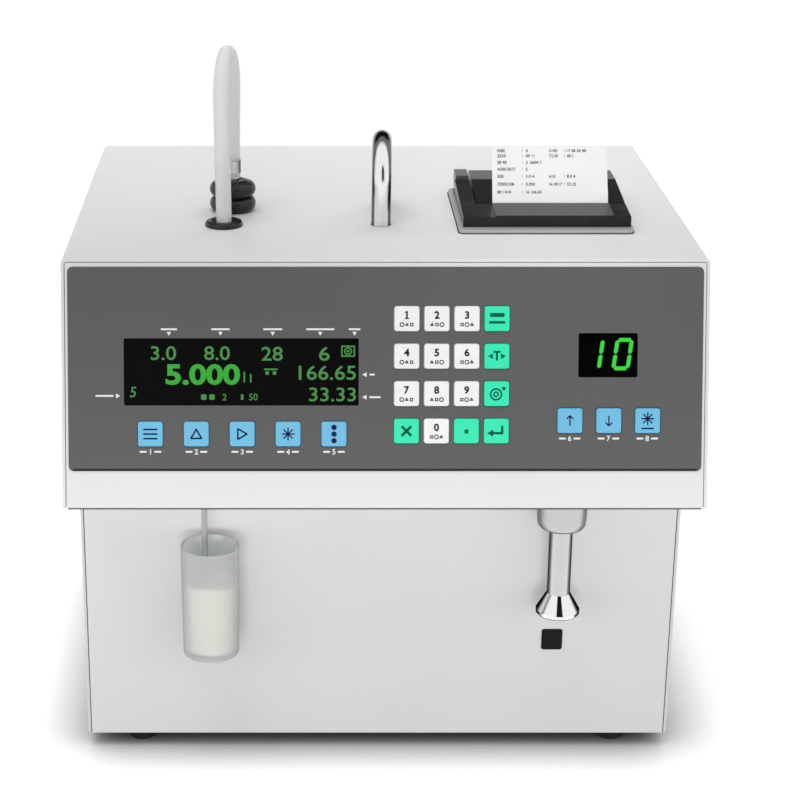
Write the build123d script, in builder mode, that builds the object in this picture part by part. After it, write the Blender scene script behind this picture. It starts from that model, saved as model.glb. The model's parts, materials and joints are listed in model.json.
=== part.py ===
from build123d import *
import os
from math import cos, radians, sin, tan

# Milk analyzer with a head over a set back base, a sample cup, a stirring horn and a receipt printer
# Millimetres, +Z up, feet on z = 0, front towards -Y, centred in X and Y on the case
os.makedirs("parts", exist_ok=True)

# Case
case_width = 300
case_depth = 262.4
case_height = 262
head_height = 112
face_tilt = 15.471
base_step = 3
base_setback = 45
sheet = 1.5
bend = 2.5
fold = 0.8
fold_inside = 0.3
foot_height = 7
seam = 0.3
seat_gap = 0.1
overrun = 5
wall_gap = 0.3

# Face of the head, measured up its slope from the sharp front edge
head_bottom = case_height - head_height
side_x = case_width / 2
base_width = case_width - 2 * base_step
slope_sin = sin(radians(face_tilt))
slope_cos = cos(radians(face_tilt))
slope_tan = tan(radians(face_tilt))
corner_y = -case_depth / 2 - fold * ((1 + slope_sin) / slope_cos - 1)
rear_y = case_depth / 2
face_length = head_height / slope_cos
face_top_y = corner_y + head_height * slope_tan
panel_y = corner_y + base_setback
face_plane = Plane(origin=(0, corner_y, head_bottom), x_dir=(1, 0, 0), z_dir=(0, -slope_cos, slope_sin))

# Keys
number_pitch_share = 0.046333
number_pitch = number_pitch_share * case_width
key_spacing = 2.3
key_size = number_pitch - key_spacing
key_corner = 1.2
key_gap = 0.3
key_proud = 0.9
flange_spacing = 0.6
key_flange = number_pitch - flange_spacing
key_flange_t = 1
key_stem = 3
key_stem_length = 1.45
function_count = 5
function_left_share = -0.363
function_left = function_left_share * case_width
function_pitch_share = 0.071
function_pitch = function_pitch_share * case_width
function_row = 35.2
number_left_share = 0.033
number_left = number_left_share * case_width
number_bottom = 36.6
number_rise = 17.37
number_columns = 4
number_rows = 4
stirrer_left_share = 0.285667
stirrer_left = stirrer_left_share * case_width
stirrer_pitch_share = 0.06
stirrer_pitch = stirrer_pitch_share * case_width
stirrer_row = 41.4
stirrer_count = 3

# Overlay and windows
overlay_side = 3
overlay_width = case_width - 2 * overlay_side
overlay_bottom = 17.8
overlay_top = 112.6
overlay_t = 0.5
overlay_corner = 2.5
display_share = -0.222333
display_x = display_share * case_width
display_row = 64
display_w_share = 0.362667
display_w = display_w_share * case_width
display_h = 31.2
timer_share = 0.343667
timer_x = timer_share * case_width
timer_row = 71.75
timer_w_share = 0.091333
timer_w = timer_w_share * case_width
timer_h = 20.5
window_corner = 0.8
lens_rim = 1.2
lens_t = 1.4

# Boards behind the face
switch_size = 6
switch_h = 1.65
board_t = 1.6
board_depth = 6.4
post_r = 2
board_margin = 10
module_t = 7
module_rim = 3.5

# Sample station
station_in = 22
station_y = corner_y + station_in
cup_side = 67.3
cup_x = cup_side - side_x
cup_drop = 28.1
cup_rim_z = head_bottom - cup_drop
cup_height = 56.4
cup_rim_r = 14.15
cup_foot_r = 13.5
cup_wall = 1.3
cup_base = 3
milk_level = 38.2
milk_gap = 0.05
tube_aside = 2.4
tube_x = cup_x - tube_aside
tube_r = 1.4
tube_bore = 0.8
tube_reach = 36
tube_collar_r = 4.5
tube_collar_h = 5
tube_turn_rise = 18
tube_turn_z = head_bottom + tube_turn_rise
tube_turn_r = 8
rail_head_w = 10
rail_head_t = 1.8
rail_stem_w = 5
rail_stem_t = 2.4
rail_drop = 7.9
rail_length = 56
rail_high = cup_rim_z - rail_drop
rail_low = rail_high - rail_length
shoe_drop = 8.9
shoe_length = 16
shoe_high = cup_rim_z - shoe_drop
shoe_low = shoe_high - shoe_length
shoe_wall = 2
shoe_lip = 1.6
shoe_web_w = 6

# Stirrer
horn_side = 64.3
horn_x = side_x - horn_side
boss_r = 12.05
boss_h = 18.2
boss_taper = 2.2
horn_shaft_r = 5.55
horn_cone_r = 10.55
horn_length = 63.5
horn_bottom = head_bottom - horn_length
horn_cone_h = 10.9
horn_cone_top = horn_bottom + horn_cone_h
horn_rim = 1.2
horn_hole_r = 8
transducer_r = 13
transducer_h = 25
ring_count = 2
ring_groove = 1
sensor_aside = 1
sensor_x = horn_x + sensor_aside
sensor_z = 60.5
sensor_w = 10.4
sensor_h = 11.2
sensor_corner = 1.2
sensor_proud = 0.6
sensor_body = 8

# Hose over the top
hose_r = 3.8
hose_bore = 2.6
hose_side = 73.5
hose_in = 59.6
hose_aside = 3.5
hose_step = 29.9
hose_front = (hose_side - side_x, face_top_y + hose_in)
hose_rear = (hose_front[0] + hose_aside, hose_front[1] + hose_step)
hose_rise = 4
hose_crest = 81.3
hose_down = 28
hose_tip = 16.5
hose_front_lean = 21.13
hose_rear_lean = 21.94
hose_start_r = 100
hose_arch_r = 19.3
hose_end_r = 60
stub_r = 2.5
stub_bore = 1.6
stub_rise = 25.4
stub_top = case_height + stub_rise
grommet_r = 9.3
grommet_h = 1.75
grommet_neck = 6.2
grommet_lip = 1.5
bellows_h = 15.6
bellows_r = 11.5
bellows_neck = 8.4
bellows_top = 6.5
bellows_waist_share = 0.53
low_bulge_share = 0.22
high_bulge_share = 0.78

# Outlet pipe
pipe_x = 0.25
pipe_in = 62.1
pipe_y = face_top_y + pipe_in
pipe_r = 4.75
pipe_bore = 3.9
pipe_bend = 18
pipe_rise = 42.3
pipe_top = case_height + pipe_rise
mouth_rise = 10
pipe_mouth = case_height + mouth_rise
pipe_turn = 2.4

# Inner liquid parts
floor_top = foot_height + sheet
cell_w = 36
cell_d = 20
cell_h = 64
cell_rise = 26
cell_high = head_bottom + cell_rise
cell_low = cell_high - cell_h
cell_foot_t = 3
cell_leg = 8
pump_size = 46
pump_corner = 3
pump_d = 18
pump_z = 72
pump_cavity = 17
pump_floor = 3
motor_r = 17
motor_length = 46
rotor_r = 15
rotor_d = 11
roller_r = 4
roller_count = 3
rotor_hub = 5
block_lift = 29
block_low = pump_z + motor_r + block_lift
block_h = 14
block_reach = 7
block_leg = 12
hose_seat = 3
hose_end_z = pump_z + pump_size / 2 + hose_seat

# Printer
printer_side = 28.5
printer_w = 84.3
printer_d = 82
printer_in = 43.4
printer_right = side_x - printer_side
printer_left = printer_right - printer_w
printer_front = face_top_y + printer_in
printer_back = printer_front + printer_d
flange_t = 2
flange_corner = 3
body_left_in = 2.2
body_right_in = 1
body_front_in = 5.3
body_back_in = 1.76
body_left = printer_left + body_left_in
body_right = printer_right - body_right_in
body_front = printer_front + body_front_in
body_back = printer_back - body_back_in
body_low = 5
body_slope = 0.0664
slot_in = 20.74
slot_w = 1.8
slot_front = body_front + slot_in
slot_back = slot_front + slot_w
bezel_wall = 2.2
rail_w = 7.5
rail_end = 17.36
rail_right = body_left + rail_w
rail_back = printer_back - rail_end
bucket_left_in = 5.8
bucket_right_in = 3.5
bucket_front_in = 7.04
bucket_back_in = 2.96
bucket_left = printer_left + bucket_left_in
bucket_right = printer_right - bucket_right_in
bucket_front = printer_front + bucket_front_in
bucket_back = printer_back - bucket_back_in
bucket_wall = 2
bucket_depth = 46
hinge_in = 0.5
hinge_rise = 4.4
hinge_y = bucket_back + hinge_in
hinge_z = case_height + hinge_rise
hinge_r = 2.2
pin_r = 1.2
ear_w = 2
ear_r = 2.3
ear_gap = 0.4
lid_wall = 1.8
lid_lift = 0.5
platen_in = 3.8
platen_rise = 0.6
platen_y = slot_back + platen_in
platen_z = case_height + platen_rise
platen_r = 4.4
platen_shaft = 1.5
platen_cheek = 1.7
paper_w = 56.8
paper_side = 66.3
paper_x = side_x - paper_side
paper_t = 0.2
paper_gap = 0.05
paper_rise = 33.8
paper_top = case_height + paper_rise
paper_lean = 23
paper_lean_r = 9
paper_lean_rise = 6
paper_lean_z = case_height + paper_lean_rise
roll_in = 24.4
roll_drop = 24
roll_y = platen_y + roll_in
roll_z = case_height - roll_drop
roll_r = 17
roll_core = 6
spindle_r = 5.5
spindle_in = 5
head_out = 5.15
head_face = platen_y - head_out
head_h = 10
head_drop = 5.5
head_z = case_height - head_drop
lever_left_in = 0.6
lever_right_in = 0.4
lever_front_in = 0.8
lever_back_in = 0.4
lever_rise = 12.7
lever_axis_rise = 5.6
lever_left = body_left + lever_left_in
lever_right = rail_right - lever_right_in
lever_front = rail_back + lever_front_in
lever_back = body_back - lever_back_in
lever_top = case_height + lever_rise
lever_axis_z = case_height + lever_axis_rise
lever_r = 1.8

# Rear
rear_inset = 8
vent_count = 9
vent_w = 40
vent_h = 3
vent_step = 8
switch_side = 45
switch_x = side_x - switch_side
switch_z = 40
rocker_w = 12.5
rocker_h = 18.5
bezel_w = 15
bezel_h = 21
bezel_t = 1.6
socket_z = 40
socket_xs_share = (0.02, -0.3)
socket_w = 31
socket_h = 12.5
jack_share = 0.36
jack_r = 5.5
jack_t = 3

# Feet and main board
foot_r = 7.5
foot_top_r = 6
foot_side = 29.5
foot_x = side_x - foot_side
foot_inset = 13
foot_rear_inset = 20
main_left = 15
main_side = 25
main_width = side_x - main_side - main_left
main_x = main_left + main_width / 2
main_depth = 90
main_back = 45.5
main_y = rear_y - main_back - main_depth / 2
main_lift = 10
main_post = 3


# Hood: one folded sheet, cut square to the tilted face in front
with BuildPart() as hood:
    with BuildSketch(Plane.XZ) as hood_section:
        with Locations((0, head_bottom)):
            Rectangle(case_width, head_height, align=(Align.CENTER, Align.MIN))
        fillet(hood_section.vertices().group_by(Axis.Y)[-1], bend)
        with Locations((0, head_bottom)):
            Rectangle(
                case_width - 2 * sheet,
                head_height - sheet,
                align=(Align.CENTER, Align.MIN),
                mode=Mode.SUBTRACT,
            )
        fillet(hood_section.vertices().group_by(Axis.Y)[-2], bend - sheet)
    extrude(amount=case_depth, both=True)
    with BuildSketch(Plane.YZ) as hood_side:
        with BuildLine():
            Polyline(
                (corner_y, head_bottom),
                (face_top_y, case_height),
                (rear_y, case_height),
                (rear_y, head_bottom),
                close=True,
            )
        make_face()
        fillet(hood_side.vertices().sort_by(Axis.X)[0], fold)
    extrude(amount=case_width, both=True, mode=Mode.INTERSECT)
    with BuildSketch(Plane.XY.offset(case_height)):
        with Locations(hose_front):
            Circle(grommet_neck + seat_gap)
        with Locations(hose_rear):
            Circle(bellows_neck + seat_gap)
        with Locations((pipe_x, pipe_y)):
            Circle(pipe_r + wall_gap)
        with Locations(((bucket_left + bucket_right) / 2, (bucket_front + bucket_back) / 2)):
            Rectangle(
                bucket_right - bucket_left + 2 * wall_gap,
                bucket_back - bucket_front + 2 * wall_gap,
            )
    extrude(amount=bend, both=True, mode=Mode.SUBTRACT)
hood.part.label = "hood"
export_step(hood.part, "parts/hood.step")

# Key places up the face, one row of functions, a block of numbers and a row for the stirrer
function_places = []
for index in range(function_count):
    function_places.append((function_left + index * function_pitch, function_row))
number_places = []
for row in range(number_rows):
    for column in range(number_columns):
        number_x = number_left + column * number_pitch
        number_y = number_bottom + (number_rows - 1 - row) * number_rise
        number_places.append((number_x, number_y))
stirrer_places = []
for index in range(stirrer_count):
    stirrer_places.append((stirrer_left + index * stirrer_pitch, stirrer_row))
key_places = function_places + number_places + stirrer_places
key_hole = key_size + 2 * key_gap

# Front fascia: tilted plate, rolled front edge and underside in one sheet
plate_top = face_length - sheet / slope_cos - seam
plate_top_y = corner_y + plate_top * slope_sin
plate_top_z = head_bottom + plate_top * slope_cos
plate_lip = 12
inner_offset = sheet / slope_cos
inner_top_y = corner_y + (plate_top_z - sheet - head_bottom) * slope_tan + inner_offset
fascia_width = case_width - 2 * sheet - 2 * seam
tongue_width = base_width - 2 * sheet - 2 * seam
tongue_depth = 12
under_rear_y = panel_y - 2 * seat_gap
with BuildPart() as front_fascia:
    with BuildSketch(Plane.YZ) as fascia_profile:
        with BuildLine():
            Polyline(
                (under_rear_y, head_bottom),
                (corner_y, head_bottom),
                (plate_top_y, plate_top_z),
                (plate_top_y + plate_lip, plate_top_z),
                (plate_top_y + plate_lip, plate_top_z - sheet),
                (inner_top_y, plate_top_z - sheet),
                (corner_y + sheet * slope_tan + inner_offset, head_bottom + sheet),
                (under_rear_y, head_bottom + sheet),
                close=True,
            )
        make_face()
        fillet(fascia_profile.vertices().sort_by(Axis.X)[0], fold)
        fillet(fascia_profile.vertices().sort_by(Axis.X)[1], fold_inside)
    extrude(amount=fascia_width / 2, both=True)
    with BuildSketch(Plane.XY.offset(head_bottom)):
        with Locations((0, under_rear_y - tongue_depth)):
            Rectangle(tongue_width, 2 * tongue_depth, align=(Align.CENTER, Align.MIN))
    extrude(amount=sheet)
    with BuildSketch(face_plane):
        with Locations(*key_places):
            Rectangle(key_hole, key_hole)
        with Locations((display_x, display_row)):
            Rectangle(display_w + 2 * lens_rim + 2 * seat_gap, display_h + 2 * lens_rim + 2 * seat_gap)
        with Locations((timer_x, timer_row)):
            Rectangle(timer_w + 2 * lens_rim + 2 * seat_gap, timer_h + 2 * lens_rim + 2 * seat_gap)
    extrude(amount=2 * sheet, both=True, mode=Mode.SUBTRACT)
    with BuildSketch(Plane.XY.offset(head_bottom)):
        with Locations((tube_x, station_y)):
            Circle(tube_r + wall_gap)
        with Locations((horn_x, station_y)):
            Circle(horn_hole_r)
    extrude(amount=2 * sheet, both=True, mode=Mode.SUBTRACT)
front_fascia.part.label = "front_fascia"
export_step(front_fascia.part, "parts/front_fascia.step")

# Overlay: thin front sheet over the plate
with BuildPart() as key_overlay:
    with BuildSketch(face_plane):
        with Locations((0, (overlay_bottom + overlay_top) / 2)):
            RectangleRounded(overlay_width, overlay_top - overlay_bottom, overlay_corner)
        with Locations(*key_places):
            RectangleRounded(key_hole, key_hole, key_corner + key_gap, mode=Mode.SUBTRACT)
        with Locations((display_x, display_row)):
            RectangleRounded(display_w, display_h, window_corner, mode=Mode.SUBTRACT)
        with Locations((timer_x, timer_row)):
            RectangleRounded(timer_w, timer_h, window_corner, mode=Mode.SUBTRACT)
    extrude(amount=overlay_t)
key_overlay.part.label = "key_overlay"
export_step(key_overlay.part, "parts/key_overlay.step")

# Keys: a cap through the face, a flange that stops behind it and a stem over a switch
key_names = []
for index in range(function_count):
    key_names.append(f"function_key_{index + 1}")
number_names = ["1", "2", "3", "side_1", "4", "5", "6", "side_2", "7", "8", "9", "side_3"]
number_names += ["side_5", "0", "side_6", "side_4"]
for name in number_names:
    if name.startswith("side"):
        key_names.append(name.replace("side", "side_key"))
    else:
        key_names.append(f"number_key_{name}")
key_names += ["stirrer_key_up", "stirrer_key_down", "stirrer_key_start"]
flange_back = sheet + seat_gap + key_flange_t
for key_name, key_place in zip(key_names, key_places):
    with BuildPart() as key:
        with BuildSketch(face_plane.offset(-sheet - seat_gap)):
            with Locations(key_place):
                RectangleRounded(key_size, key_size, key_corner)
        extrude(amount=sheet + seat_gap + overlay_t + key_proud)
        with BuildSketch(face_plane.offset(-flange_back)):
            with Locations(key_place):
                Rectangle(key_flange, key_flange)
        extrude(amount=key_flange_t)
        with BuildSketch(face_plane.offset(-flange_back)):
            with Locations(key_place):
                Rectangle(key_stem, key_stem)
        extrude(amount=-key_stem_length)
    key.part.label = key_name
    export_step(key.part, f"parts/{key_name}.step")

# Lenses of both displays, let into the plate behind the overlay
with BuildPart() as display_windows:
    with BuildSketch(face_plane.offset(-seat_gap / 2)):
        with Locations((display_x, display_row)):
            Rectangle(display_w + 2 * lens_rim, display_h + 2 * lens_rim)
        with Locations((timer_x, timer_row)):
            Rectangle(timer_w + 2 * lens_rim, timer_h + 2 * lens_rim)
    extrude(amount=-lens_t)
display_windows.part.label = "display_windows"
export_step(display_windows.part, "parts/display_windows.step")

# Graphic display: framed glass on a board that four posts hold to the plate
module_front = sheet + 2 * seat_gap
module_back = module_front + module_t
with BuildPart() as display_module:
    with BuildSketch(face_plane.offset(-module_front)):
        with Locations((display_x, display_row)):
            Rectangle(display_w, display_h)
    extrude(amount=-module_t)
    with BuildSketch(face_plane.offset(-module_back)):
        with Locations((display_x, display_row)):
            Rectangle(display_w + 4 * module_rim, display_h + module_rim)
    extrude(amount=-board_t)
    with BuildSketch(face_plane.offset(-sheet - seat_gap)):
        with Locations((display_x, display_row)):
            with GridLocations(display_w + 2.5 * module_rim, display_h - module_rim, 2, 2):
                Circle(post_r)
    extrude(amount=-(module_back - sheet - seat_gap))
display_module.part.label = "display_module"
export_step(display_module.part, "parts/display_module.step")

# Key board: one board with a switch under each key and the timer display
function_right = function_left + (function_count - 1) * function_pitch
number_right = number_left + (number_columns - 1) * number_pitch
number_top = number_bottom + (number_rows - 1) * number_rise
stirrer_right = stirrer_left + (stirrer_count - 1) * stirrer_pitch
row_half = key_flange / 2 + seat_gap
timer_board_w = timer_w + 4 * board_margin / 2 - 2 * post_r
with BuildPart() as keypad_board:
    with BuildSketch(face_plane.offset(-board_depth)) as board_outline:
        with Locations((function_left - board_margin, function_row)):
            Rectangle(number_right - function_left + 2 * board_margin, 2 * row_half, align=(Align.MIN, Align.CENTER))
        with Locations(((number_left + number_right) / 2, (number_bottom + number_top) / 2)):
            Rectangle(number_right - number_left + 2 * board_margin, number_top - number_bottom + 2 * row_half)
        with Locations((number_right, stirrer_row + row_half)):
            Rectangle(timer_x - number_right, board_margin, align=(Align.MIN, Align.CENTER))
        with Locations(((stirrer_left + stirrer_right) / 2, stirrer_row)):
            Rectangle(stirrer_right - stirrer_left + key_flange + 2 * seat_gap, 2 * row_half)
        with Locations((timer_x, stirrer_row)):
            Rectangle(timer_board_w, timer_row - stirrer_row + timer_h / 2 + post_r, align=(Align.CENTER, Align.MIN))
    extrude(amount=-board_t)
    with BuildSketch(face_plane.offset(-board_depth)):
        with Locations(*key_places):
            Rectangle(switch_size, switch_size)
    extrude(amount=switch_h)
    with BuildSketch(face_plane.offset(-module_front)):
        with Locations((timer_x, timer_row)):
            Rectangle(timer_w, timer_h)
    extrude(amount=-(board_depth - module_front))
    with BuildSketch(face_plane.offset(-sheet - seat_gap)):
        with Locations((function_left + 1.5 * function_pitch, function_row)):
            Circle(post_r)
        with Locations((function_right + number_left) / 2 * Vector(1, 0) + Vector(0, function_row)):
            Circle(post_r)
        with Locations((number_left - board_margin + post_r / 2, number_top - number_rise / 2)):
            Circle(post_r)
        with Locations((number_right + board_margin - post_r / 2, number_top - number_rise / 2)):
            Circle(post_r)
        with Locations((timer_x - timer_board_w / 2 + post_r, timer_row - timer_h / 2)):
            Circle(post_r)
        with Locations((timer_x + timer_board_w / 2 - post_r, timer_row - timer_h / 2)):
            Circle(post_r)
    extrude(amount=-(board_depth - sheet - seat_gap))
keypad_board.part.label = "keypad_board"
export_step(keypad_board.part, "parts/keypad_board.step")

# Base case: floor and sides, joggled outwards at the top to lie inside the hood
base_half = base_width / 2
hood_inner = case_width / 2 - sheet
strip_height = 26
strip_back_y = rear_y - rear_inset - 2 * sheet
strip_front_y = panel_y + 2 * sheet
ledge_low = head_bottom + seam
with BuildPart() as base_case:
    with BuildSketch(Plane.XZ.offset(-rear_y)) as base_section:
        with Locations((0, foot_height)):
            Rectangle(base_width, ledge_low + sheet - foot_height, align=(Align.CENTER, Align.MIN))
        fillet(base_section.vertices().group_by(Axis.Y)[0], bend)
        with Locations((0, floor_top)):
            Rectangle(base_width - 2 * sheet, head_height * 2, align=(Align.CENTER, Align.MIN), mode=Mode.SUBTRACT)
    extrude(amount=rear_y - panel_y)
    with BuildSketch(Plane.XZ.offset(-strip_back_y)):
        with Locations((base_half - sheet, ledge_low)):
            Rectangle(hood_inner - seat_gap - base_half + sheet, sheet, align=(Align.MIN, Align.MIN))
        with Locations((hood_inner - seat_gap, ledge_low)):
            Rectangle(sheet, strip_height, align=(Align.MAX, Align.MIN))
        mirror(about=Plane.YZ)
    extrude(amount=strip_back_y - strip_front_y)
    with BuildSketch(Plane.XY.offset(foot_height)):
        with Locations((0, panel_y - overrun)):
            Rectangle(base_width - 2 * sheet, overrun + sheet + seat_gap, align=(Align.CENTER, Align.MIN))
    extrude(amount=sheet, mode=Mode.SUBTRACT)
base_case.part.label = "base_case"
export_step(base_case.part, "parts/base_case.step")

# Lower front panel with folded top and bottom, between the sides of the base
panel_low = foot_height + seam
panel_high = head_bottom - seat_gap
panel_width = base_width - 2 * sheet - 2 * seat_gap
panel_fold = 12
with BuildPart() as lower_front_panel:
    with BuildSketch(Plane.YZ) as panel_profile:
        with BuildLine():
            Polyline(
                (panel_y, panel_low),
                (panel_y, panel_high),
                (panel_y + panel_fold, panel_high),
                (panel_y + panel_fold, panel_high - sheet),
                (panel_y + sheet, panel_high - sheet),
                (panel_y + sheet, floor_top + seat_gap + sheet),
                (panel_y + panel_fold, floor_top + seat_gap + sheet),
                (panel_y + panel_fold, floor_top + seat_gap),
                (panel_y + sheet, floor_top + seat_gap),
                (panel_y + sheet, panel_low),
                close=True,
            )
        make_face()
    extrude(amount=panel_width / 2, both=True)
    with BuildSketch(Plane.XZ.offset(-panel_y)):
        with Locations((sensor_x, sensor_z)):
            Rectangle(sensor_w - 2 * sensor_corner, sensor_h - 2 * sensor_corner)
    extrude(amount=2 * sheet, both=True, mode=Mode.SUBTRACT)
lower_front_panel.part.label = "lower_front_panel"
export_step(lower_front_panel.part, "parts/lower_front_panel.step")

# Rear panel, let in behind the edges of hood and base
rear_panel_y = rear_y - rear_inset
vent_z = head_bottom + vent_step * 2
with BuildPart() as rear_panel:
    with BuildSketch(Plane.XZ.offset(-rear_panel_y)):
        with Locations((0, floor_top + seat_gap)):
            Rectangle(
                base_width - 2 * sheet - 2 * seat_gap,
                ledge_low + sheet + seat_gap - floor_top,
                align=(Align.CENTER, Align.MIN),
            )
        with Locations((0, ledge_low + sheet + seat_gap)):
            Rectangle(
                fascia_width,
                case_height - 2 * sheet - 2 * seam - ledge_low,
                align=(Align.CENTER, Align.MIN),
            )
        with Locations((0, vent_z)):
            with GridLocations(vent_w * 1.5, vent_step, 3, vent_count, align=(Align.CENTER, Align.MIN)):
                SlotOverall(vent_w, vent_h, mode=Mode.SUBTRACT)
        with Locations((switch_x, switch_z)):
            Rectangle(rocker_w + sheet, rocker_h + sheet, mode=Mode.SUBTRACT)
        for share in socket_xs_share:
            with Locations((share * base_width, socket_z)):
                Rectangle(socket_w / 2, socket_h / 2, mode=Mode.SUBTRACT)
        with Locations((switch_x - jack_share * base_width / 2, socket_z)):
            Circle(jack_r - sheet, mode=Mode.SUBTRACT)
    extrude(amount=sheet)
rear_panel.part.label = "rear_panel"
export_step(rear_panel.part, "parts/rear_panel.step")

# Switch bezel, power inlet and two data sockets on the rear panel
outer_y = rear_panel_y + seat_gap
with BuildPart() as rear_fittings:
    with BuildSketch(Plane.XZ.offset(-outer_y)):
        with Locations((switch_x, switch_z)):
            Rectangle(bezel_w, bezel_h)
            Rectangle(rocker_w + 2 * wall_gap, rocker_h + 2 * wall_gap, mode=Mode.SUBTRACT)
    extrude(amount=-bezel_t)
    with BuildSketch(Plane.XZ.offset(-outer_y)):
        for share in socket_xs_share:
            with Locations((share * base_width, socket_z)):
                Trapezoid(socket_w, socket_h, 80)
        with Locations((switch_x - jack_share * base_width / 2, socket_z)):
            Circle(jack_r)
    extrude(amount=-jack_t)
    with BuildSketch(Plane.XZ.offset(-outer_y - jack_t)):
        for share in socket_xs_share:
            with Locations((share * base_width, socket_z)):
                Trapezoid(socket_w - 2 * sheet, socket_h - 2 * sheet, 80)
        with Locations((switch_x - jack_share * base_width / 2, socket_z)):
            Circle(jack_r - sheet)
    extrude(amount=jack_t - sheet, mode=Mode.SUBTRACT)
rear_fittings.part.label = "rear_fittings"
export_step(rear_fittings.part, "parts/rear_fittings.step")

# Rocker of the power switch, two slopes that meet at its axis
rocker_in = 4
rocker_out = 3.2
rocker_dip = 1.2
rocker_edge = 0.8
rocker_axis_y = rear_panel_y - sheet / 2
with BuildPart() as power_rocker:
    with BuildSketch(Plane.YZ.offset(switch_x)):
        with BuildLine():
            Polyline(
                (rocker_axis_y - rocker_in, switch_z - rocker_h / 4),
                (rocker_axis_y - rocker_in, switch_z + rocker_h / 4),
                (outer_y, switch_z + rocker_h / 2 - rocker_edge),
                (outer_y + rocker_out, switch_z + rocker_h / 2 - rocker_edge),
                (outer_y + rocker_dip, switch_z),
                (outer_y + rocker_dip / 2, switch_z - rocker_h / 2 + rocker_edge),
                (outer_y, switch_z - rocker_h / 2 + rocker_edge),
                close=True,
            )
        make_face()
    extrude(amount=rocker_w / 2, both=True)
power_rocker.part.label = "power_rocker"
export_step(power_rocker.part, "parts/power_rocker.step")

# Four rubber feet
foot_front_y = panel_y + foot_inset
foot_back_y = rear_y - foot_rear_inset
with BuildPart() as feet:
    with BuildSketch(Plane.XY):
        with Locations((0, (foot_front_y + foot_back_y) / 2)):
            with GridLocations(2 * foot_x, foot_back_y - foot_front_y, 2, 2):
                Circle(foot_top_r)
    extrude(amount=foot_height - seat_gap, taper=-(foot_r - foot_top_r) * 10)
feet.part.label = "feet"
export_step(feet.part, "parts/feet.step")

# Sample cup with the shoe that rides on the rail
cup_bottom_z = cup_rim_z - cup_height
rail_front_y = panel_y - seat_gap - rail_stem_t - rail_head_t
shoe_inner_y = rail_front_y - wall_gap
shoe_front_y = shoe_inner_y - shoe_wall
lip_back_y = panel_y - seat_gap - 2 * wall_gap
with BuildPart() as sample_cup:
    with BuildSketch(Plane.XZ.offset(-station_y)):
        with BuildLine():
            Polyline(
                (cup_x, cup_bottom_z),
                (cup_x + cup_foot_r, cup_bottom_z),
                (cup_x + cup_rim_r, cup_rim_z),
                (cup_x + cup_rim_r - cup_wall, cup_rim_z),
                (cup_x + cup_foot_r - cup_wall, cup_bottom_z + cup_base),
                (cup_x, cup_bottom_z + cup_base),
                close=True,
            )
        make_face()
    revolve(axis=Axis((cup_x, station_y, 0), (0, 0, 1)))
    with BuildSketch(Plane.XY.offset(shoe_low)):
        with Locations((cup_x, shoe_inner_y)):
            Rectangle(rail_head_w + 2 * wall_gap + 2 * shoe_wall, shoe_wall, align=(Align.CENTER, Align.MAX))
        with Locations((cup_x + rail_head_w / 2 + wall_gap, shoe_front_y)):
            Rectangle(shoe_wall, lip_back_y - shoe_front_y, align=(Align.MIN, Align.MIN))
        with Locations((cup_x - rail_head_w / 2 - wall_gap, shoe_front_y)):
            Rectangle(shoe_wall, lip_back_y - shoe_front_y, align=(Align.MAX, Align.MIN))
        with Locations((cup_x + rail_stem_w / 2 + wall_gap, lip_back_y)):
            Rectangle((rail_head_w - rail_stem_w) / 2 + shoe_wall, shoe_lip, align=(Align.MIN, Align.MAX))
        with Locations((cup_x - rail_stem_w / 2 - wall_gap, lip_back_y)):
            Rectangle((rail_head_w - rail_stem_w) / 2 + shoe_wall, shoe_lip, align=(Align.MAX, Align.MAX))
        with Locations((cup_x, shoe_front_y)):
            Rectangle(shoe_web_w, shoe_front_y - station_y - cup_foot_r + cup_wall / 2, align=(Align.CENTER, Align.MAX))
    extrude(amount=shoe_high - shoe_low)
sample_cup.part.label = "sample_cup"
export_step(sample_cup.part, "parts/sample_cup.step")

# Milk in the cup, open where the tube dips in
milk_low = cup_bottom_z + cup_base + milk_gap
milk_top = cup_bottom_z + milk_level
cup_flare = (cup_rim_r - cup_foot_r) / cup_height
milk_low_r = cup_foot_r - cup_wall - 2 * milk_gap
milk_top_r = milk_low_r + cup_flare * (milk_top - milk_low)
tube_end = cup_rim_z - tube_reach
with BuildPart() as milk:
    with BuildSketch(Plane.XZ.offset(-station_y)):
        with BuildLine():
            Polyline(
                (cup_x, milk_low),
                (cup_x + milk_low_r, milk_low),
                (cup_x + milk_top_r, milk_top),
                (cup_x, milk_top),
                close=True,
            )
        make_face()
    revolve(axis=Axis((cup_x, station_y, 0), (0, 0, 1)))
    with BuildSketch(Plane.XY.offset(tube_end - wall_gap)):
        with Locations((tube_x, station_y)):
            Circle(tube_r + wall_gap)
    extrude(amount=milk_top, mode=Mode.SUBTRACT)
milk.part.label = "milk"
export_step(milk.part, "parts/milk.step")

# Rail on the lower panel, a T in plan, hidden behind the cup
with BuildPart() as cup_rail:
    with BuildSketch(Plane.XY.offset(rail_low)):
        with Locations((cup_x, panel_y - seat_gap)):
            Rectangle(rail_stem_w, rail_stem_t, align=(Align.CENTER, Align.MAX))
        with Locations((cup_x, rail_front_y)):
            Rectangle(rail_head_w, rail_head_t, align=(Align.CENTER, Align.MIN))
    extrude(amount=rail_high - rail_low)
cup_rail.part.label = "cup_rail"
export_step(cup_rail.part, "parts/cup_rail.step")

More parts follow.
